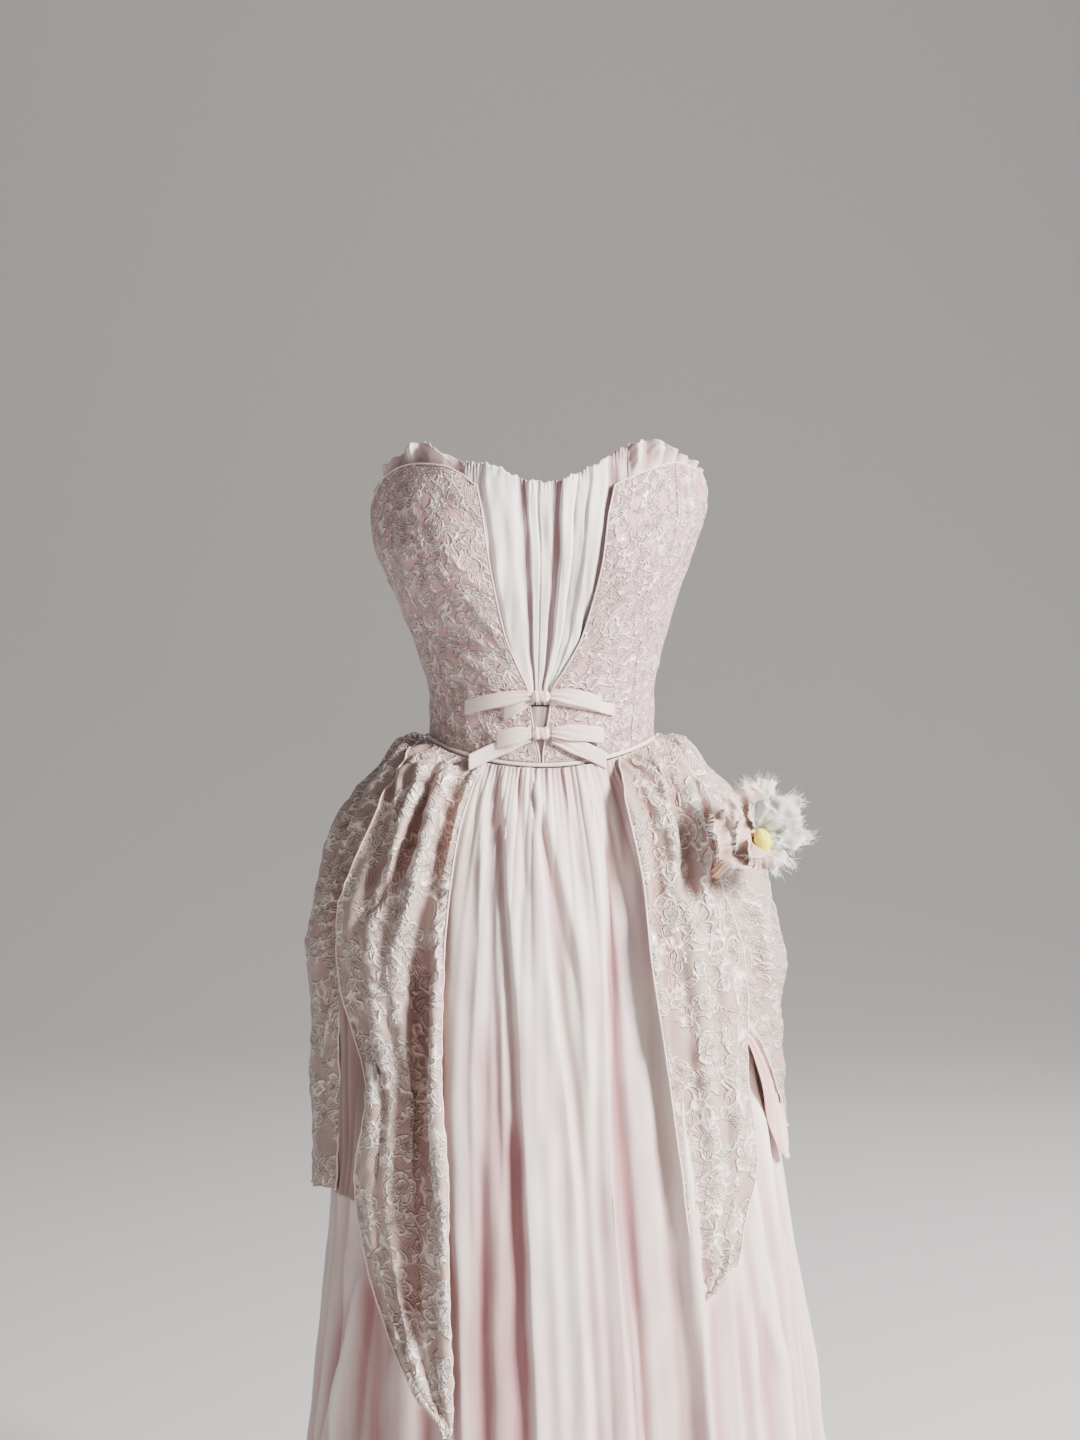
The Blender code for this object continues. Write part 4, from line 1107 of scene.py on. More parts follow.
@dataclass
class Vestee:
    """The fan-pleated chiffon in the V, and the satin that shows in the slot under it.

    Attributes:
        underlap: How far it lies behind the lace.
        fineness: Points across each pleat.
        rows: Rows of its grid.
        lowest: Height of its lower end.
        gathers: Pinched gathers along its top.
        sewing: How the chiffon is made.
        satin: How the satin is made.
    """

    underlap: float = 0.0045
    fineness: int = 15
    rows: int = 84
    lowest: float = 0.030
    gathers: int = 46
    sewing: Sewing = Sewing(
        "chiffon_", VESTEE_CHIFFON, Slot.CHIFFON, Held.GATHERED,
        ("lace_bodice_front_left", "lace_bodice_front_right"),
    )
    satin: Sewing = replace(
        sewing, prefix="satin_", finish=GREY_SATIN, slot=Slot.SATIN, held=Held.STRETCHED, wall=WALL
    )

    def columns(self) -> Grid:
        """The share of the width, the lift and the painted shade of each column of the pleats."""
        total = sum(pleat.width for pleat in VESTEE_PLEATS)
        made, passed = [], 0.0
        for pleat in VESTEE_PLEATS:
            for place in np.linspace(0, 1, self.fineness, endpoint=False):
                lift = pleat.lift * min(place / 0.13, 1.0, (1 - place) / 0.22) * (1 - 0.3 * place)
                tone = mix(pleat.shade_left, pleat.shade_right, place)
                made.append(((passed + pleat.width * place) / total, lift, tone))
            passed += pleat.width
        made.append((1.0, 0.0, VESTEE_PLEATS[-1].shade_right))
        return np.array(made).T

    def chiffon(self) -> Piece:
        """The fan-pleated chiffon."""
        across, lift, tone = self.columns()
        share, up = np.meshgrid(across, np.linspace(0, 1, self.rows + 1))
        ends = np.array([BUST_TOP])
        top = FRILL_TOP.at(mix(front_edge(-1, ends) - 5.0, front_edge(1, ends) + 5.0, share))
        top = top + 0.0010 * np.sin(share * 61.0) + 0.0007 * np.sin(share * 137.0 + 1.0)
        height = mix(self.lowest, top, up)
        capped = np.minimum(height, BUST_TOP)
        tuck = mix(4.0, 5.0, swell((height - 0.05) / 0.03))
        near, far = front_edge(-1, capped) - tuck, front_edge(1, capped) + tuck
        strength = mix(0.5, 1.0, swell((height - 0.03) / 0.06))
        points = body_points(mix(near, far, share), height, -self.underlap + lift * strength)
        cloth = Cloth(points, tone * mix(0.8, 1.0, swell((height - 0.05) / 0.08)) + 0 * share)
        under_top = swell(1 - (top - height) / 0.016)
        pinch = np.sin(share * self.gathers * math.tau + 3 * np.sin(share * 9)) * under_top
        # Painted light on the pinched ridges and painted shade between them, and a little darker along the
        # top.
        cloth = cloth.shaped(0.0007 * pinch, -0.16 * pinch + 0.10 * under_top)
        cloth = cloth.rippled(Ripples(0.0007, 0.020, 0.007, 21, stretch=4.0), swell((height - 0.04) / 0.05))
        return self.sewing.sheet("vestee", cloth)

    def build(self) -> list[Piece]:
        """Builds the vestee and the satin strip."""
        angle, level = np.meshgrid(np.linspace(-11, 11, 41), np.linspace(-0.0195, 0.0285, 31))
        satin = Cloth(body_points(angle, level, -WALL - 0.0010), 0.3 + 0.5 * hump(angle - 1.5, 1.2))
        satin = satin.rippled(Ripples(0.0006, 0.016, 0.007, 23, stretch=4.0))
        return [self.chiffon(), self.satin.sheet("front_stay", satin)]


@dataclass
class Frills:
    """The sheer chiffon frill that stands up at the bust's top.

    Attributes:
        tuck: How far its lower edge lies under the lace's top edge.
        underlap: Degrees that it reaches past the V's edges.
        columns: Columns of each frill's grid.
        rows: Rows of each frill's grid.
        sewing: How it is made.
    """

    tuck: float = 0.010
    underlap: float = 5.6
    columns: int = 220
    rows: int = 24
    sewing: Sewing = Sewing("chiffon_", FRILL_CHIFFON, Slot.CHIFFON, Held.GATHERED, ("chiffon_vestee",))

    def frill(self, name: str, near: float, far: float, waves: float, phase: float) -> Piece:
        """One frill.

        Args:
            name: Name of the plain solid that it stands for.
            near: The angle where it starts.
            far: The angle where it ends.
            waves: How many waves it has.
            phase: Where its waves start.

        Returns:
            The frill.
        """
        share, level = shares(self.columns, self.rows)
        angle = mix(near, far, share)
        lace_top = LACE_TOP.at(angle)
        high = np.maximum(FRILL_TOP.at(angle), lace_top + 0.0015)
        high = high + 0.0011 * np.sin(share * 83.0 + 2 * np.sin(share * 17)) * swell((high - lace_top) / 0.02)
        height = mix(lace_top - self.tuck, high, level)
        free = swell((height - lace_top) / 0.016)
        swing = 0.10 * np.sin(share * 19.0) + 0.05 * np.sin(share * 47.0 + 1)
        turn = math.tau * (waves * (share + swing / waves) + phase)
        wave = np.cos(turn)
        fine = np.sin(turn * 2.3 + 1.5 * np.sin(share * 29)) * 0.22
        stand = -0.0046 + (wave + fine) * mix(0.0008, 0.0052, free) + 0.0030 * free
        # Painted shade in the frill's troughs and painted light on its crests, a darker band part way up, and
        # more painted shade towards the sides.
        tone = 0.40 - 0.36 * wave - 0.24 * fine + 0.12 * hump(level - 0.45, 0.25)
        tone = tone + 0.30 * swell((np.abs(angle) - 62) / 14)
        cloth = Cloth(body_points(angle, height, stand), tone)
        return self.sewing.sheet(name, cloth.rippled(Ripples(0.0006, 0.016, 0.006, 31, stretch=2.0), free))

    def build(self) -> list[Piece]:
        """Builds both frills."""
        left, right = (float(front_edge(side, np.array([BUST_TOP]))[0]) for side in (-1, 1))
        return [
            self.frill("frill_left", -95.0, left - self.underlap, 4.6, 0.15),
            self.frill("frill_right", right + self.underlap, 97.0, 8.0, 0.5),
        ]


class Ribbon(NamedTuple):
    """A bow's ribbon end: its middle line's x and height, its width, how far it stands off the lace, how far
    its end flares out, and its painted shade.
    """

    name: str
    start: Place
    middle: Place
    end: Place
    width: float
    lift: float
    flare: float
    tone: float


# The last number is each ribbon's painted shade, deeper on the ends that lie in shade.
RIBBONS = tuple(
    Ribbon("bow_" + name, *row)
    for name, *row in (
        ("upper_tail_left", (-0.0082, 0.0385), (-0.038, 0.0345), (-0.067, 0.0265), 0.0138, 0.003, 0, 0.0),
        ("upper_end_left", (-0.0085, 0.0345), (-0.02, 0.029), (-0.033, 0.0225), 0.0136, 0.0003, 0, 0.22),
        ("upper_tail_right", (0.0093, 0.0385), (0.031, 0.037), (0.0545, 0.03), 0.015, 0.003, 0, 0.22),
        ("upper_end_right", (0.0095, 0.0345), (0.036, 0.032), (0.068, 0.024), 0.011, 0.0003, 0, 0.12),
        ("lower_tail_left", (-0.0075, 0.005), (-0.022, 0.0025), (-0.0365, -0.0015), 0.0158, 0.0085, 0, 0.0),
        ("lower_end_left", (-0.0083, 0.0), (-0.033, -0.0085), (-0.056, -0.0225), 0.015, 0.0016, 0.0172, 0.2),
        ("lower_tail_right", (0.0097, 0.0055), (0.032, 0.005), (0.056, 0.0015), 0.015, 0.0052, 0, 0.32),
        ("lower_end_right", (0.0103, -0.001), (0.034, -0.009), (0.057, -0.0215), 0.0158, 0.0016, 0.006, 0.24),
    )
)


class Knot(NamedTuple):
    """A bow's knot: its place and size."""

    name: str
    x: float
    height: float
    width: float
    tall: float


KNOTS = (
    Knot("bow_upper_knot", 0.0005, 0.0385, 0.0180, 0.0118),
    Knot("bow_lower_knot", 0.0010, 0.0045, 0.0180, 0.0122),
)


@dataclass
class Bows:
    """The two ribbon bows of the front, and the piping round the waist.

    Attributes:
        wall: Thickness of the ribbon.
        steps: Points along a ribbon.
        across: Points across a ribbon.
        knot_lift: How far a knot's middle stands off the lace.
        knot_depth: Half of a knot's depth.
        piping_points: Points round the piping.
    """

    wall: float = 0.0010
    steps: int = 48
    across: int = 12
    knot_lift: float = 0.0036
    knot_depth: float = 0.0038
    piping_points: int = 240

    def on_lace(self, x: Grid, height: Grid, out: Grid) -> Grid:
        """Points off the bodice's front at these x and heights."""
        return body_points(BODY_FORM.angle(x, height), height, out)

    def ribbon(self, row: Ribbon) -> Piece:
        """One ribbon end."""
        places = np.linspace(0, 1, self.steps + 1)
        if row.end[0] < row.start[0]:
            places = places[::-1]
        share, side = np.meshgrid(places, np.linspace(-0.5, 0.5, self.across + 1))
        x, height = [
            (1 - share) ** 2 * start
            + 2 * share * (1 - share) * (2 * middle - 0.5 * (start + end))
            + share**2 * end
            for start, middle, end in zip(row.start, row.middle, row.end)
        ]
        pinch = mix(0.62, 1.0, swell(share / 0.4))
        bulge = 0.0018 * np.sin(math.pi * share) + 0.0003 * (1 - 4 * side * side)
        crease = 0.0010 * np.sin(side * 15 + share * 5 + row.start[1] * 300) * hump(share, 0.40)
        lift = row.lift + self.wall + SEAM_GAP + bulge + row.flare * share**3 + crease
        # Painted shade next to the knot, in the creases' troughs and along both edges, and painted light on
        # the creases' crests.
        tone = row.tone + 0.30 * hump(share, 0.12) - 200.0 * crease + 0.18 * hump(np.abs(side) - 0.5, 0.07)
        cloth = Cloth(self.on_lace(x, height + side * row.width * pinch, lift), tone)
        knot = "ribbon_" + row.name[:9] + "_knot"
        sewing = Sewing("ribbon_", PINK_RIBBON, Slot.RIBBON, Held.HUNG, (knot,), self.wall)
        return sewing.sheet(row.name, cloth)

    def knot(self, row: Knot) -> Piece:
        """One knot, wrapped over itself."""

        def shape(ball: Grid) -> tuple[Grid, Grid]:
            """The knot's points, and their tone with painted shade at its pinched middle and between its
            wraps, from a ball's points.
            """
            middle = self.on_lace(np.array(row.x), np.array(row.height), np.array(self.knot_lift))
            squared = np.sign(ball) * np.abs(ball) ** 0.86
            waist = 1.0 - 0.16 * hump(ball[:, 0], 0.33) + 0.06 * hump(np.abs(ball[:, 0]) - 0.45, 0.2)
            lines = 0.05 * np.sin(ball[:, 0] * 13 + 1.5 * ball[:, 2]) * (1 - ball[:, 0] ** 2)
            size = np.array([row.width / 2, self.knot_depth, row.tall / 2])
            shaped = squared * size * np.stack([np.ones(len(ball)), waist + lines, waist + lines], axis=-1)
            # Painted shade at the pinched middle and between the wraps.
            return middle + shaped, 0.20 - 5 * lines + 0.3 * hump(ball[:, 0], 0.2)

        deselect()
        bpy.ops.mesh.primitive_ico_sphere_add(subdivisions=5, radius=1.0)
        return dress(mould("ribbon_" + row.name, shape), PINK_RIBBON, row.name)

    def piping(self) -> Piece:
        """The piping round the waist seam."""
        angle = np.linspace(-180, 180, self.piping_points, endpoint=False)
        path = body_points(angle, waist_height(angle), -WALL / 2)
        piece = tube("piping", path, PIPING_RADIUS + 0.0003, closed=True, sides=3)
        return dress(piece, PALE_EDGING, "waist_piping")

    def build(self) -> list[Piece]:
        """Builds the bows and the piping."""
        return [self.piping()] + [self.knot(row) for row in KNOTS] + [self.ribbon(row) for row in RIBBONS]


# Folds of the skirt; their tone is painted shade in the troughs and painted highlight on the crests.
SKIRT_FOLDS = folds(
    (0.004, 3.5, 14, -0.22, 502, 762, 508, 897, 518, 1007, 522, 1100, 530, 1250, 538, 1436),
    (-0.0034, 6, 4, 0.42, 497, 795, 502, 900, 510, 1007, 514, 1100, 520, 1250, 527, 1436),
    (-0.004, 10, 7, 0.45, 512, 1130, 514, 1200, 517, 1300, 521, 1436),
    (0.004, 13, 3, -0.2, 530, 765, 537, 800, 543, 907, 553, 1007, 567, 1100, 576, 1200, 588, 1436),
    (-0.0026, 4, 6, 0.34, 546, 860, 553, 930, 562, 1007, 575, 1100, 585, 1200, 598, 1436),
    (0.003, 4, 11, -0.15, 538, 790, 563, 883, 577, 940, 585, 1010, 591, 1100),
    (-0.0024, 5, 5, 0.38, 531, 785, 545, 850, 557, 905, 568, 960),
    (0.005, 11, 3, -0.2, 585, 765, 596, 850, 603, 940, 605, 1033, 610, 1167, 622, 1300, 629, 1440),
    (-0.0046, 4, 8, 0.6, 608, 800, 611, 900, 613, 1000, 618, 1100, 625, 1200, 637, 1320, 645, 1440),
    (0.0036, 12, 14, -0.16, 626, 770, 638, 900, 644, 1000, 652, 1150, 665, 1300, 675, 1440),
    (0.004, 10, 3.5, -0.1, 640, 800, 656, 920, 665, 990),
    (0.0155, 9, 2.6, -0.1, 660, 950, 668, 1010, 679, 1150, 695, 1300, 706, 1440),
    (-0.002, 6, 6, 0.22, 652, 1000, 658, 1150, 672, 1300, 682, 1440),
    (0.0036, 13, 13, -0.15, 472, 768, 463, 830, 455, 900, 452, 1000, 455, 1150, 462, 1440),
    (-0.003, 4, 5, 0.5, 443, 880, 441, 1000, 445, 1160, 451, 1300, 455, 1440),
    (0.0026, 4, 7, -0.1, 484, 770, 482, 860, 479, 953, 473, 1070, 476, 1250),
    (-0.0022, 5, 4, 0.26, 491, 790, 490, 880, 492, 960, 497, 1080, 500, 1200),
    (-0.003, 6, 6, 0.35, 478, 1150, 482, 1250, 486, 1440),
    (0.0036, 9, 10, -0.12, 547, 1130, 553, 1250, 562, 1440),
    (-0.0016, 4, 4, 0.25, 517, 770, 522, 830, 527, 900), (-0.0016, 4, 4, 0.2, 561, 768, 570, 820, 580, 880),
    (-0.0018, 4, 4, 0.22, 612, 762, 621, 810, 628, 870),
    (-0.0018, 5, 4, 0.25, 596, 1000, 598, 1150, 606, 1300, 613, 1440),
    (0.005, 8, 3.5, -0.2, 760, 1100, 773, 1207, 787, 1317, 800, 1440),
    (-0.003, 4, 6, 0.25, 767, 1120, 781, 1220, 795, 1330, 808, 1440),
    (0.005, 12, 4, -0.2, 725, 1260, 733, 1330, 743, 1440),
    (-0.003, 4, 6, 0.3, 735, 1290, 742, 1360, 751, 1440),
    (0.0028, 5, 5, -0.1, 747, 1225, 760, 1300, 788, 1380),
    (-0.0024, 5, 6, 0.4, 714, 1300, 716, 1370, 721, 1440),
    (0.0065, 4, 9, -0.3, 363, 1270, 354, 1305, 342, 1365, 327, 1440),
    (-0.004, 8, 4, 0.35, 352, 1290, 343, 1330, 332, 1390, 319, 1440),
    (-0.006, 9, 14, 0.62, 372, 1280, 372, 1340, 368, 1440),
    (0.0034, 4, 8, -0.05, 393, 1350, 390, 1390, 387, 1440), (-0.003, 8, 8, 0.45, 420, 1400, 424, 1440),
    (-0.0012, 26, 26, 0.3, 484, 1030, 487, 1200, 492, 1440),
    (0.0012, 12, 15, -0.22, 548, 1060, 556, 1250, 566, 1440),
    (-0.001, 26, 24, 0.2, 650, 1090, 664, 1250, 682, 1440),
    (-0.0014, 3, 4, 0.3, 608, 860, 613, 1000, 618, 1200, 636, 1440),
)


@dataclass
class Skirt:
    """The gathered chiffon skirt: a front and two backs.

    Attributes:
        gathers: Gathers round the whole skirt.
        broad: Folds that they open into.
        rows: Rows of each panel's grid.
        fine: Degrees between the columns at the centre front.
        coarse: Degrees between the front's other columns.
        behind: Degrees between the back's columns.
        centre: Half-angle of the fine part.
        sewing: How the panels are made.
    """

    gathers: float = 60.0
    broad: float = 31.0
    rows: int = 118
    fine: float = 0.42
    coarse: float = 0.98
    behind: float = 0.80
    centre: float = 37.0
    sewing: Sewing = Sewing("chiffon_", SKIRT_CHIFFON, Slot.CHIFFON, Held.GATHERED, ("piping",), WALL, 0.0013)

    def panel(self, name: str, angle: Grid, seed: int) -> Piece:
        """One panel of the skirt.

        Args:
            name: Name of the plain solid that it stands for.
            angle: Angles of its columns.
            seed: Number that sets its unevenness.

        Returns:
            The panel.
        """
        turned, fall = np.meshgrid(angle, np.linspace(0, 1, self.rows + 1)[::-1] ** 1.45)
        wrapped = (turned + 180) % 360 - 180
        top = waist_height(wrapped) - PIPING_RADIUS - SEAM_GAP
        height = mix(top, HEM_HEIGHT, fall)
        drop = top - height
        wave = mix(gather_wave(wrapped, self.gathers), gather_wave(wrapped, self.broad), swell(drop / 0.16))
        seen = hump(wrapped / 52.0, 1.0) ** 2
        ridge = SKIRT_FOLD_DEPTH.at(fall) * wave * mix(1.0, 0.22, seen * swell(fall / 0.08))
        fine = gather_wave(wrapped * 1.03 + 7, 152.0) * np.exp(-drop / 0.045)
        ridge = ridge + 0.0011 * fine + 0.0007 * gather_wave(wrapped + 3, 97.0) * np.exp(-drop / 0.22)
        # Painted shade in the gathers' troughs and painted light on their ridges, also standing for the pink
        # beneath the sheer chiffon; darker towards the hem, and painted shade just under the waist.
        tone = 0.20 - 0.22 * wave * mix(1.0, 0.25, seen * swell(fall / 0.08)) - 0.22 * fine
        tone = tone + 0.26 * swell((fall - 0.15) / 0.55) + 0.30 * np.exp(-drop / 0.012)
        # More painted shade deep in the troughs away from the centre front.
        trough_shade = np.maximum(-wave, 0) ** 3 * 0.22 * (1 - seen)
        cloth = Cloth(SKIRT_FORM.points(wrapped, height, ridge), tone + trough_shade)
        cloth = cloth.folded(SKIRT_FOLDS)
        cloth = cloth.rippled(Ripples(0.0016, 0.110, 0.030, seed, stretch=5.0), swell(drop / 0.15))
        cloth = cloth.rippled(Ripples(0.0007, 0.045, 0.014, seed + 1, stretch=2.5), swell(drop / 0.06))
        return self.sewing.sheet(name, cloth, {"hem_": cloth.points[0]})

    def build(self) -> list[Piece]:
        """Builds the three panels."""
        side = SIDE_SEAM - HALF_SEAM
        middle = np.linspace(-self.centre, self.centre, round(2 * self.centre / self.fine) + 1)
        outer = np.linspace(self.centre, side, round((side - self.centre) / self.coarse) + 1)[1:]
        front = np.concatenate([-outer[::-1], middle, outer])
        back = np.linspace(SIDE_SEAM + HALF_SEAM, 180 - HALF_SEAM, round((180 - SIDE_SEAM) / self.behind) + 1)
        return [
            self.panel("skirt_front", front, 41),
            self.panel("skirt_back_right", back, 43),
            self.panel("skirt_back_left", 360 - back[::-1], 47),
        ]


@dataclass(frozen=True)
class DrapeCut:
    """The cut and hang of a lace drape or of a lining.

    Attributes:
        name: Name of the plain solid that it stands for.
        border: Angles of its two borders, by height.
        seed: Number that sets its unevenness.
        folds: How many broad folds it has.
        phase: Where they start.
        depth: How deep they are, as a share of the usual depth.
        near_depth: Their share of that at the near border.
        over: How far it lies over its neighbour.
        puff: How far it puffs up under the waist.
        near_puff: The share of that at the near border.
        seen: Folds that the picture shows.
        lower: Its lower edge, or None where its borders run to a point.
    """

    name: str
    border: Rows
    seed: int
    folds: float
    phase: float
    depth: float
    near_depth: float
    over: float
    puff: float
    near_puff: float
    seen: tuple[Fold, ...] = ()
    lower: SmoothCurve | None = None

    def angle(self, share: Grid, height: Grid) -> Grid:
        """Angles at shares of its width from the near border."""
        return mix(SmoothCurve(self.border, 1).at(height), SmoothCurve(self.border, 2).at(height), share)

    def points(self, share: Grid, height: Grid, out: float = 0.0) -> Grid:
        """Points on the drape's outer face.

        Args:
            share: Shares of its width from the near border.
            height: Heights before it puffs up.
            out: Distance out of it.

        Returns:
            The points.
        """
        angle = self.angle(share, height)
        fall = np.maximum(waist_height(angle) - height, 0.0)
        across, ahead = np.sin(np.radians(angle)), np.cos(np.radians(angle))
        stand = PANNIER.beside(across, fall) * across**2 + PANNIER.facing(ahead, fall) * ahead**2
        depth = self.depth * DRAPE_FOLD_DEPTH.at(fall) * mix(self.near_depth, 1.0, swell(share / 0.22))
        stand = stand + depth * self.wave(share)
        over = self.over * swell((share - 0.2) / 0.5)
        puff = self.puff * mix(self.near_puff, 1.0, swell(share / 0.25))
        points = SKIRT_FORM.points(angle, height, stand + over + out)
        points[..., 2] += puff * hump(fall - 0.016, 0.0065) * across**2 + over * hump(fall, 0.05)
        return points

    def wave(self, share: Grid) -> Grid:
        """The broad folds across the width, from 0 in a trough to 1 on a ridge."""
        uneven = share + 0.025 * np.sin(9.0 * share + self.phase)
        return 0.5 - 0.5 * np.cos(math.tau * (self.folds * uneven + self.phase))

    def ordered(self, grid: Grid) -> Grid:
        """A grid with its columns running towards +angle."""
        return grid if self.border[0][2] > self.border[0][1] else grid[:, ::-1]


# Folds of the drapes; their tone is painted shade in the troughs and painted highlight on the crests.
FRONT_LEFT_FOLDS = folds(
    (0.0065, 6, 8, -0.25, 389, 768, 385, 782, 375, 815, 362, 850, 347, 895, 341, 945, 345, 1010),
    (0.0036, 4, 4, -0.2, 402, 764, 397, 795, 390, 830),
    (-0.0046, 5, 5, 0.45, 394, 772, 386, 815, 377, 850, 368, 890),
    (0.007, 5, 7, -0.25, 424, 760, 418, 782, 405, 815, 395, 850, 386, 895),
    (-0.007, 6, 7, 0.62, 434, 768, 422, 808, 409, 845, 394, 878, 368, 915),
    (0.006, 6, 8, -0.22, 450, 762, 446, 775, 435, 802, 425, 838, 412, 892, 399, 940),
    (-0.004, 5, 6, 0.5, 457, 775, 446, 812, 439, 850, 436, 905),
    (0.0046, 13, 15, -0.1, 402, 925, 386, 1000, 376, 1080, 362, 1150, 359, 1200, 372, 1270),
    (-0.011, 13, 12, 0.8, 425, 950, 419, 1030, 416, 1100, 415, 1200, 412, 1290, 409, 1335),
    (0.007, 6, 5, -0.15, 437, 960, 433, 1034, 435, 1100, 443, 1200, 446, 1300, 449, 1420),
    (0.001, 6, 6, -0.15, 383, 1075, 370, 1120, 361, 1165),
    (-0.0014, 7, 7, 0.2, 352, 1000, 360, 1060, 370, 1110),
    (0.003, 9, 9, -0.1, 395, 1290, 408, 1350, 428, 1400),
)
FRONT_RIGHT_FOLDS = folds(
    (-0.002, 6, 5, 0.5, 634, 762, 648, 810, 656, 860, 662, 930, 670, 1010, 680, 1100, 691, 1200),
    (0.0042, 5, 6, -0.15, 655, 757, 664, 785, 672, 830, 676, 870),
    (-0.0034, 5, 5, 0.25, 664, 760, 676, 795, 684, 840, 690, 900),
    (0.0042, 5, 6, -0.15, 677, 757, 690, 787, 699, 830, 703, 880),
    (-0.004, 5, 4, 0.35, 690, 765, 702, 800, 709, 845, 712, 890),
    (0.005, 15, 15, -0.1, 695, 880, 700, 950, 706, 1030, 713, 1120, 716, 1200, 712, 1260),
    (-0.0034, 5, 6, 0.22, 722, 880, 728, 930, 736, 1000),
    (-0.002, 7, 7, 0.12, 682, 900, 686, 980, 692, 1060, 702, 1150),
    (0.0026, 8, 8, -0.08, 735, 1040, 735, 1120, 730, 1200),
    (-0.0036, 4, 5, 0.55, 727, 886, 738, 915, 750, 945, 760, 985),
)
SIDE_LEFT_FOLDS = folds(
    (0.004, 6, 8, -0.1, 420, 728, 398, 752, 372, 790, 352, 840),
    (-0.004, 5, 6, 0.2, 408, 730, 384, 758, 362, 790, 342, 835, 333, 880),
    (-0.0034, 6, 7, 0.25, 352, 830, 340, 880, 332, 940, 328, 1010),
    (0.0034, 5, 6, -0.05, 336, 860, 326, 920, 321, 1000, 324, 1080),
)
SIDE_RIGHT_FOLDS = folds(
    (0.004, 6, 6, -0.12, 672, 735, 692, 752, 710, 778), (-0.0036, 5, 5, 0.18, 682, 732, 704, 752, 722, 782),
    (0.0036, 6, 7, -0.12, 752, 870, 764, 930, 770, 1000), (-0.003, 5, 5, 0.25, 745, 880, 757, 940, 764, 1010),
)

FRONT_HANG = (0.55, 1.0, 0.0046, 0.004, 1.0)
SIDE_HANG = (9.0, 0.05, 1.0, 0.10, 0.0, 0.014, 0.2)
DRAPES = (
    DrapeCut("drape_front_left", FRONT_LEFT_BORDER, 61, 4.0, 0.10, *FRONT_HANG, FRONT_LEFT_FOLDS),
    DrapeCut("drape_front_right", FRONT_RIGHT_BORDER, 63, 3.0, 0.30, *FRONT_HANG, FRONT_RIGHT_FOLDS),
    DrapeCut("drape_side_left", SIDE_LEFT_BORDER, 65, *SIDE_HANG, SIDE_LEFT_FOLDS, SIDE_LEFT_LOWER),
    DrapeCut("drape_side_right", SIDE_RIGHT_BORDER, 67, *SIDE_HANG, SIDE_RIGHT_FOLDS, SIDE_RIGHT_LOWER),
)
LININGS = (
    DrapeCut("lining_side_left", LINING_SIDE_LEFT_BORDER, 71, 2.0, 0.0, 0.10, 1.0, 0.0, 0.0, 0.0),
    DrapeCut("lining_side_right", LINING_SIDE_RIGHT_BORDER, 73, 2.0, 0.0, 0.10, 1.0, 0.0, 0.0, 0.0),
    DrapeCut("lining_front_right", LINING_FRONT_RIGHT_BORDER, 75, 1.0, 0.0, 0.10, 1.0, 0.0010, 0.0, 0.0),
)


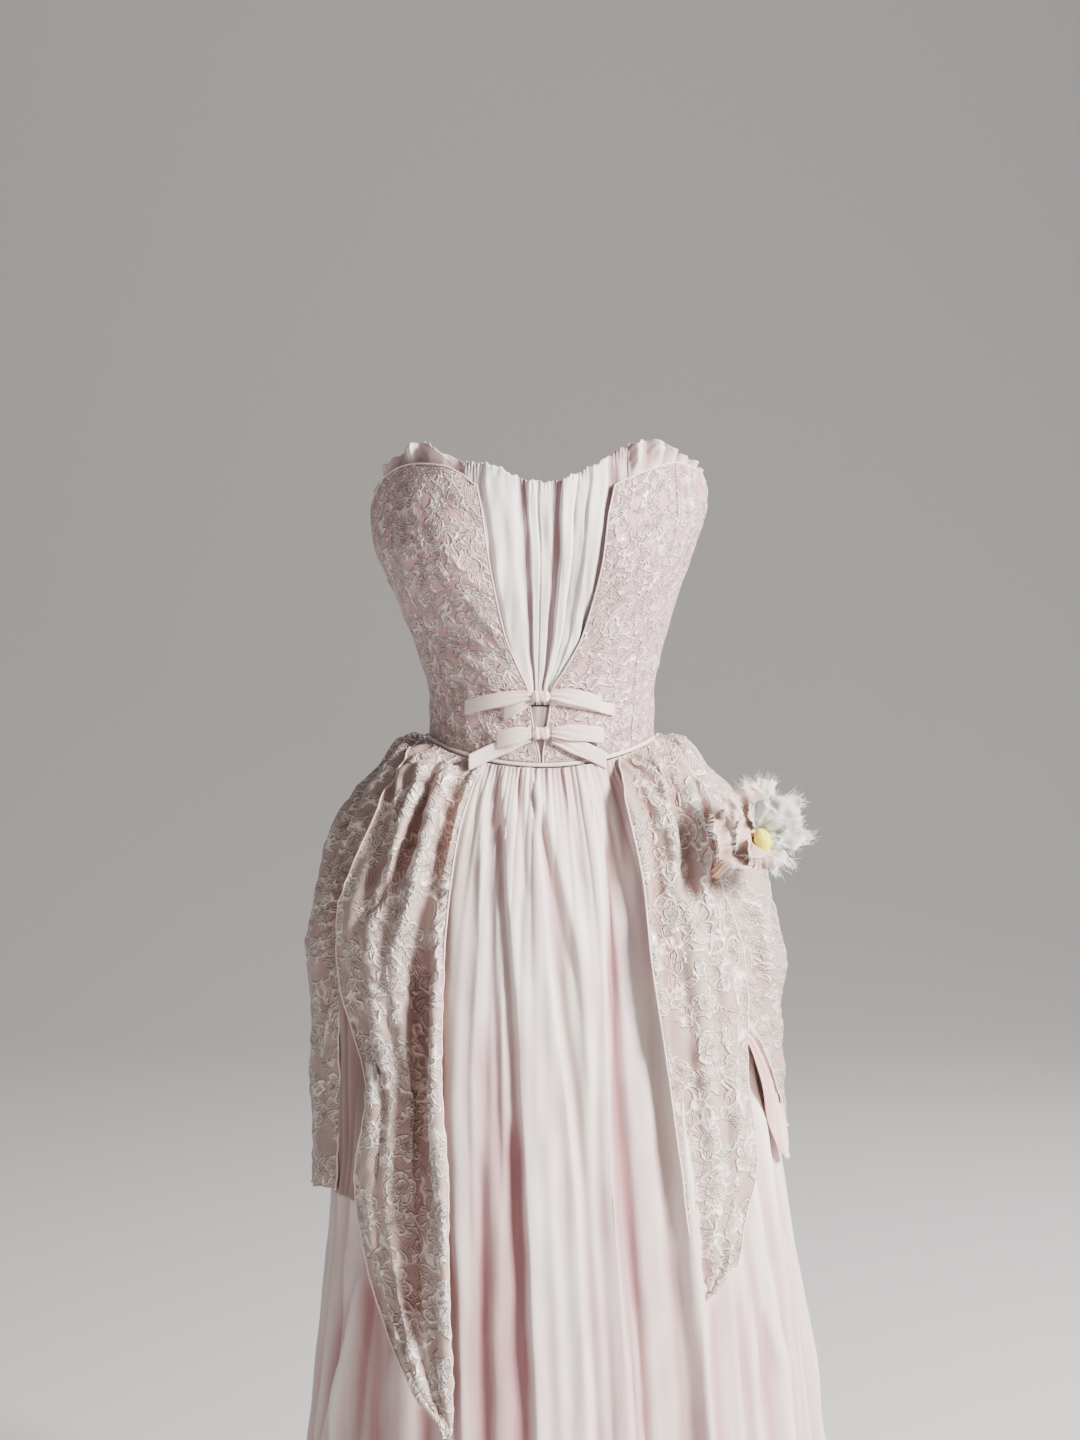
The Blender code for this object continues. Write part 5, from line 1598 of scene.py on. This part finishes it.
@dataclass
class Overskirt:
    """The four petal-shaped lace drapes and the linings that show past them.

    Attributes:
        front: Columns and rows of a front drape's grid.
        side: Columns and rows of a side drape's grid.
        lining_grid: Columns and rows of a lining's grid.
        lining_tuck: How far a lining lies behind the lace.
        gathers: Fine gathers at the waist, to a radian of the body.
        sewing: How the drapes are made.
        lining_sewing: How the linings are made.
    """

    front: tuple[int, int] = (100, 168)
    side: tuple[int, int] = (150, 128)
    lining_grid: tuple[int, int] = (48, 96)
    lining_tuck: float = 0.0030
    gathers: float = 22.0
    sewing: Sewing = Sewing(
        "lace_", DRAPE_LACE, Slot.LACE, Held.DRAPED, ("piping", "chiffon_skirt_front"), WALL, 0.0008
    )
    lining_sewing: Sewing = Sewing("chiffon_", PEACH_LINING, Slot.LINING, Held.HUNG, ("chiffon_skirt_front",))

    def drape(self, cut: DrapeCut) -> Piece:
        """One lace drape."""
        is_side = cut.lower is not None
        share, up = shares(*(self.side if is_side else self.front))
        top = waist_height(cut.angle(share, np.full(1, WAIST_LEVEL))) - DRAPE_TOP
        height = mix(top, cut.lower.at(share) if is_side else cut.border[0][0], (1 - up) ** 1.35)
        points = cut.ordered(cut.points(share, height))
        fall = cut.ordered(top - height)
        wave = cut.ordered(cut.wave(share))
        angle = np.arctan2(points[..., 0], -points[..., 1])
        gather = np.sin(angle * self.gathers * 2.0 + 2 * np.sin(angle * 7))
        gather = gather + 0.5 * np.sin(angle * self.gathers * 3.3)
        gather = gather * np.exp(-fall / 0.040) * swell(fall / 0.006)
        # Painted shade in the broad folds' troughs and just under the waist, and painted light on the
        # gathers' ridges.
        tone = 0.30 + 0.22 * (0.5 - wave) - 0.14 * gather + 0.25 * np.exp(-fall / 0.010)
        if is_side:
            # Painted shade across the left side drape and painted light across the right one, fading over the
            # width.
            shade = 1.0 if cut.name.endswith("left") else -0.5
            tone = tone + 0.16 * swell((0.5 - cut.ordered(share)) / 0.5) * shade
        cloth = Cloth(points, tone).shaped(0.0019 * gather)
        cloth = cloth.folded(cut.seen)
        cloth = cloth.rippled(Ripples(0.0024, 0.090, 0.026, cut.seed, stretch=2.2), swell(fall / 0.05))
        cloth = cloth.rippled(Ripples(0.0006, 0.026, 0.009, cut.seed + 1), swell(fall / 0.03))
        cloth.points[-1] = points[-1]
        around = np.concatenate([cloth.points[::-1, 0], cloth.points[0, 1:], cloth.points[1:, -1]])
        return self.sewing.sheet(cut.name, cloth, {"edge_": around})

    def lining(self, cut: DrapeCut) -> Piece:
        """One lining, where it shows past the lace."""
        share, up = shares(*self.lining_grid)
        height = mix(cut.border[0][0], cut.border[-1][0], up)
        cloth = Cloth(cut.ordered(cut.points(share, height, -self.lining_tuck)), np.zeros(share.shape))
        run = cloth.across()
        fold = np.sin(run * 430 + 3 * np.sin(run * 131 + 4 * up)) * swell((1 - up) / 0.15)
        # Painted shade in the folds' troughs and painted light on their ridges.
        cloth = Cloth(cloth.points, 0.34 - 0.26 * fold).shaped(0.0012 * fold)
        cloth = cloth.rippled(Ripples(0.0018, 0.060, 0.016, cut.seed, stretch=5.0))
        # The left lining takes the painted-shade copy of the peach lining.
        finish = SHADED_LINING if cut.name.endswith("left") else PEACH_LINING
        return replace(self.lining_sewing, finish=finish).sheet(cut.name, cloth)

    def build(self) -> list[Piece]:
        """Builds the drapes and the linings."""
        return [self.drape(cut) for cut in DRAPES] + [self.lining(cut) for cut in LININGS]


class Petal(NamedTuple):
    """A petal: its turn from straight up, its reach and rise, its half-width and how it sits."""

    name: str
    turn: float
    reach: float
    rise: float
    spread: float
    root: float
    lift: float
    is_tan: bool


PETALS = tuple(
    Petal(*row)
    for row in (
        ("flower_petal_1", 20, 0.049, 0.03, 54, 0.0062, 0.006, False),
        ("flower_petal_2", 80, 0.049, 0.038, 52, 0.0056, 0.0086, False),
        ("flower_petal_3", 140, 0.041, 0.03, 50, 0.0062, 0.006, False),
        ("flower_petal_4", 200, 0.038, 0.04, 50, 0.0056, 0.0086, True),
        ("flower_petal_5", 260, 0.05, 0.03, 62, 0.0062, 0.0062, True),
        ("flower_petal_6", 320, 0.046, 0.038, 52, 0.0056, 0.0086, True),
        ("flower_inner_1", 350, 0.026, 0.04, 62, 0.0042, 0.011, False),
        ("flower_inner_2", 110, 0.024, 0.036, 60, 0.0042, 0.011, False),
        ("flower_inner_3", 258, 0.034, 0.036, 78, 0.0042, 0.011, True),
    )
)
BASE_PROFILE = SmoothCurve(
    ((0.0, 0.0060), (0.15, 0.0048), (0.45, 0.0068), (0.68, 0.0092), (0.80, 0.0070), (1.0, 0.0025))
)


def unit(vector: Grid) -> Grid:
    """The vector, or each row of vectors, at length 1."""
    return vector / np.linalg.norm(vector, axis=-1, keepdims=True)


@dataclass
class Flower:
    """The frayed organza flower on the hip.

    Attributes:
        share: Where its stem is sewn across the right front drape.
        height: The height at which it is sewn.
        threads: Frayed threads to a petal.
        thread_long: Their greatest length.
        thread_thick: Their half-thickness.
        stem_part: Share of the base's length that is its stem.
        calyx: Length of the rest, which the petals grow from.
        sewing: How the petals are made.
    """

    share: float = 0.94
    height: float = -0.122
    threads: int = 85
    thread_long: float = 0.0100
    thread_thick: float = 0.00012
    stem_part: float = 0.68
    calyx: float = 0.0145
    sewing: Sewing = Sewing(
        "organza_", WHITE_ORGANZA, Slot.ORGANZA, Held.GATHERED, ("cloth_flower_base",), FINE_WALL * 0.6
    )

    def __post_init__(self) -> None:
        """Works out where the flower sits and which way it faces."""
        self.axis = unit(np.array([0.50, -0.80, 0.33]))
        self.stem_bend = np.array([0.010, -0.014, 0.010])
        self.stem = np.array([0.029, 0.008, 0.032])
        self.up = unit(np.array([0.0, 0.0, 1.0]) - self.axis * self.axis[2])
        self.right = np.cross(self.up, self.axis)
        self.seat = replace(DRAPES[1], depth=1.0).points(np.array(self.share), np.array(self.height))
        self.root = self.seat + self.stem

    def petal(self, row: Petal, seed: int) -> tuple[Piece, Cloth]:
        """One crumpled petal and its cloth, whose crumples the seed sets."""
        along, across = np.meshgrid(np.linspace(0, 1, 31), np.linspace(1, -1, 51))
        narrow = 0.80 + 0.20 * np.sin(math.pi * np.minimum(along / 0.75, 1.0) * 0.5)
        tip = 1.0 - 0.35 * swell((along - 0.70) / 0.30)
        turn = np.radians(row.turn + across * row.spread * narrow * tip)
        ragged = 0.018 * np.sin(across * 17 + seed) + 0.012 * np.sin(across * 37 + 2 * seed)
        edge = 1.0 - 0.10 * across**2 * swell(along) + ragged * swell((along - 0.6) / 0.4)
        radius = row.root + (row.reach - row.root) * along**1.15 * edge
        ruffle = 0.0046 * np.sin(4.6 * across + 0.05 * row.turn) + 0.0022 * np.sin(10 * across + seed)
        ruffle = along * ruffle + along * 0.0009 * np.sin(23 * across + 2 * np.sin(5 * across) + seed)
        curl = -0.006 * swell((along - 0.72) / 0.28) * (1 + 0.6 * np.sin(3 * across + seed))
        rise = row.lift + (row.rise - row.lift) * along**0.85 + ruffle + curl
        away = self.up * np.cos(turn)[..., None] + self.right * np.sin(turn)[..., None]
        points = self.root + self.axis * rise[..., None] + away * radius[..., None]
        # Darker towards the root, with painted shade in the ruffles' troughs and painted light on their
        # crests.
        cloth = Cloth(points, 0.52 - 0.40 * along - 75 * ruffle)
        cloth = cloth.rippled(Ripples(0.0017, 0.030, 0.008, seed), swell(along / 0.3))
        finish = TAN_ORGANZA if row.is_tan else WHITE_ORGANZA
        return replace(self.sewing, finish=finish).sheet(row.name, cloth), cloth

    def thread(self, draw: np.random.Generator, tips: Grid, roots: Grid) -> list[Grid]:
        """The points of one frayed thread.

        Args:
            draw: What its place, its way, its bend and its length are drawn from.
            tips: Points along the petal's edge.
            roots: Points a little way in from them.

        Returns:
            Four rings of three points.
        """
        place = draw.random() * (len(tips) - 1)
        index = int(place)
        tip = mix(tips[index], tips[index + 1], place - index)
        ahead = unit(tip - mix(roots[index], roots[index + 1], place - index))
        ahead = unit(ahead + draw.normal(0, 0.28, 3))
        bend = draw.normal(0, 0.35, 3)
        long = self.thread_long * (0.35 + 0.65 * draw.random())
        side = unit(np.cross(ahead, self.axis + 0.01))
        other = np.cross(ahead, side)
        ring = [side * math.cos(turn) + other * math.sin(turn) for turn in np.arange(3) * math.tau / 3]
        spots = []
        for far in (0, 1 / 3, 2 / 3, 1):
            middle = tip + (ahead * (far - 0.08) + bend * far * far * 0.5) * long
            thick = self.thread_thick * (1.0 - 0.5 * far)
            spots += [middle + way * thick for way in ring]
        return spots

    def fringe(self, cloths: Sequence[Cloth]) -> Piece:
        """The frayed threads round the edges of the petals' cloths, as one piece."""
        draw = np.random.default_rng(97)
        spots, faces = [], []
        for cloth in cloths:
            for _ in range(self.threads):
                start = len(spots)
                spots += self.thread(draw, cloth.points[:, -1], cloth.points[:, -4])
                for ring in range(start, start + 9, 3):
                    for k in range(3):
                        a, b = ring + k, ring + (k + 1) % 3
                        faces.append((a, b, b + 3, a + 3))
                faces += [(start + 2, start + 1, start), (start + 9, start + 10, start + 11)]
        mesh = bpy.data.meshes.new("organza_threads")
        mesh.from_pydata([tuple(spot) for spot in spots], [], faces)
        piece = link("organza_threads", mesh)
        colour_points(piece, np.zeros(len(spots)))
        return dress(piece, THREAD)

    def stem_points(self, rod: Grid) -> tuple[Grid, Grid]:
        """The stem's points and tone from a rod's points."""
        level = rod[:, 2] + 0.5
        share = np.minimum(level / self.stem_part, 1.0)[:, None]
        over = np.maximum(level - self.stem_part, 0.0)[:, None] / (1 - self.stem_part) * self.calyx
        turn = np.arctan2(rod[:, 1], rod[:, 0])
        pleats = np.sin(turn * 7 + level * 5)
        far = np.hypot(rod[:, 0], rod[:, 1]) * BASE_PROFILE.at(level) * (1 + 0.12 * pleats)
        facing = unit(mix(unit(self.stem_bend), self.axis, share))
        up = unit(self.up - facing * (facing @ self.up)[:, None])
        right = np.cross(up, facing)
        middle = self.seat + 2 * share * (1 - share) * self.stem_bend + share**2 * self.stem
        middle = middle + self.axis * over
        around = right * np.cos(turn)[:, None] + up * np.sin(turn)[:, None]
        return middle + facing * 0.001 + around * far[:, None], 0.15 + 0.3 * pleats

    def base(self) -> Piece:
        """The peach stem that bends up from the drape and gathers the petals."""
        deselect()
        bpy.ops.mesh.primitive_cylinder_add(vertices=40, radius=1.0, depth=1.0, end_fill_type="TRIFAN")
        bpy.ops.object.mode_set(mode="EDIT")
        bpy.ops.mesh.subdivide(number_cuts=9)
        bpy.ops.object.mode_set(mode="OBJECT")
        return dress(mould("cloth_flower_base", self.stem_points), PEACH_STEM, "flower_base")

    def heart_points(self, ball: Grid) -> tuple[Grid, Grid]:
        """The folded yellow petal's points, and their tone with painted shade in its creases, from a ball's
        points.
        """
        x, y, z = ball[:, 0], ball[:, 1], ball[:, 2]
        crease = 1.0 - 0.10 * np.sin(y * 7 + 2 * x) - 0.12 * hump(x + 0.25 * y, 0.16) * (z > 0)
        points = (
            self.root
            + self.axis * (0.0238 + 0.0080 * z * crease)[:, None]
            + self.right * (0.0080 * x * (1 - 0.12 * y) - 0.0015 * y + 0.001)[:, None]
            + self.up * (0.0118 * y - 0.009)[:, None]
        )
        # Painted shade in the creases.
        return points, 0.9 - 0.8 * crease

    def heart(self) -> Piece:
        """The folded yellow petal in the middle."""
        deselect()
        bpy.ops.mesh.primitive_uv_sphere_add(segments=40, ring_count=24, radius=1.0)
        petal = mould("cloth_flower_centre", self.heart_points)
        return dress(petal, YELLOW_PETAL, "flower_centre")

    def build(self) -> list[Piece]:
        """Builds the whole flower."""
        made = [self.base(), self.heart()]
        petals = [self.petal(row, 81 + 2 * k) for k, row in enumerate(PETALS)]
        made += [piece for piece, _ in petals]
        return made + [self.fringe([cloth for _, cloth in petals])]


class Lamp(NamedTuple):
    """A square area light: its name, place, side, power in watts and colour."""

    name: str
    place: tuple[float, float, float]
    size: float
    power: float
    colour: Colour


LAMPS = (
    Lamp("key_light", (2.75, -1.75, 1.4), 0.9, 540.0, (1.0, 0.955, 0.91)),
    Lamp("fill_light", (-2.4, -2.0, 0.4), 1.6, 7.0, (0.97, 0.94, 0.93)),
    Lamp("rim_light", (1.5, 2.0, 1.6), 1.2, 60.0, (0.93, 0.95, 1.0)),
)


@dataclass
class Studio:
    """The pale floor and backdrop, the soft lights and the camera.

    Attributes:
        floor: Height of the floor.
        reach: Half-width of the floor.
        near: Where the floor starts in front.
        wall: Where the wall stands behind.
        top: Height of the wall's top.
        sweep: How far the floor's bend into the wall reaches.
        paper: Colour of the floor and the wall.
        aim: What the lights point at.
        lens: The camera's focal length, in millimetres.
        sensor: Width of its sensor.
        ambient: Colour of the light all round.
        strength: How strong that is.
    """

    floor: float = -1.043
    reach: float = 9.0
    near: float = -8.0
    wall: float = 7.5
    top: float = 8.0
    sweep: float = 4.0
    paper: Colour = (0.64, 0.625, 0.615)
    aim: tuple[float, float, float] = (0.0, 0.0, -0.25)
    lens: float = 63.3565
    sensor: float = 36.0
    ambient: Colour = (0.93, 0.90, 0.90)
    strength: float = 0.22

    def backdrop(self) -> None:
        """Builds a floor that sweeps up into a wall behind."""
        deselect()
        bpy.ops.mesh.primitive_plane_add(size=2.0, location=(0.0, 0.0, 0.0))
        piece = bpy.context.object
        piece.name = "studio_backdrop"
        bpy.ops.object.mode_set(mode="EDIT")
        bpy.ops.mesh.select_all(action="DESELECT")
        bpy.ops.mesh.select_mode(type="EDGE")
        bpy.ops.object.mode_set(mode="OBJECT")
        mesh = piece.data
        for edge in mesh.edges:
            edge.select = all(mesh.vertices[k].co.y > 0.5 for k in edge.vertices)
        bpy.ops.object.mode_set(mode="EDIT")
        bpy.ops.mesh.extrude_region_move(TRANSFORM_OT_translate={"value": (0.0, 0.0, 1.0)})
        bpy.ops.object.mode_set(mode="OBJECT")
        for vert in mesh.vertices:
            vert.co.x *= self.reach
            vert.co.y = self.wall if vert.co.y > 0.5 else self.near
            vert.co.z = self.floor if vert.co.z < 0.5 else self.top
        apply_modifier(piece, "BEVEL", width=self.sweep, segments=32, limit_method="ANGLE")
        paper = Graph("studio_paper").finish({"Base Color": (*self.paper, 1.0), "Roughness": 0.9})
        piece.data.materials.append(paper)

    def light(self, row: Lamp) -> None:
        """Adds a lamp that is aimed at the gown."""
        deselect()
        bpy.ops.object.light_add(type="AREA", location=row.place)
        lamp = bpy.context.object
        lamp.name = row.name
        lamp.data.shape = "SQUARE"
        lamp.data.size = row.size
        lamp.data.energy = row.power
        lamp.data.color = row.colour
        aim = np.array(self.aim) - np.array(row.place)
        flat = math.hypot(aim[0], aim[1])
        lamp.rotation_euler = (math.atan2(flat, -aim[2]), 0.0, math.atan2(-aim[0], aim[1]))

    def camera(self) -> None:
        """Adds the camera at the picture's viewing angle."""
        data = bpy.data.cameras.new("camera")
        data.sensor_width = self.sensor
        data.lens = self.lens
        data.clip_start, data.clip_end = 0.05, 60.0
        view = link("camera", data)
        view.location = (0.0, -PictureFrame.DISTANCE, PictureFrame.HEIGHT)
        view.rotation_euler = (math.pi / 2 - PictureFrame.PITCH, 0.0, 0.0)
        bpy.context.scene.camera = view

    def build(self) -> None:
        """Builds the studio."""
        self.backdrop()
        for row in LAMPS:
            self.light(row)
        world = bpy.context.scene.world or bpy.data.worlds.new("world")
        bpy.context.scene.world = world
        world.use_nodes = True
        background = world.node_tree.nodes["Background"]
        background.inputs["Color"].default_value = (*self.ambient, 1.0)
        background.inputs["Strength"].default_value = self.strength
        self.camera()


def main() -> None:
    """Builds and dresses the gown and its studio."""
    logging.basicConfig(level=logging.INFO, format="%(message)s")
    for part in (Bows(), Bodice(), Vestee(), Frills(), Skirt(), Overskirt(), Flower()):
        for piece in part.build():
            log.info("built %s", piece.name)
    Studio().build()


if __name__ == "__main__":
    main()
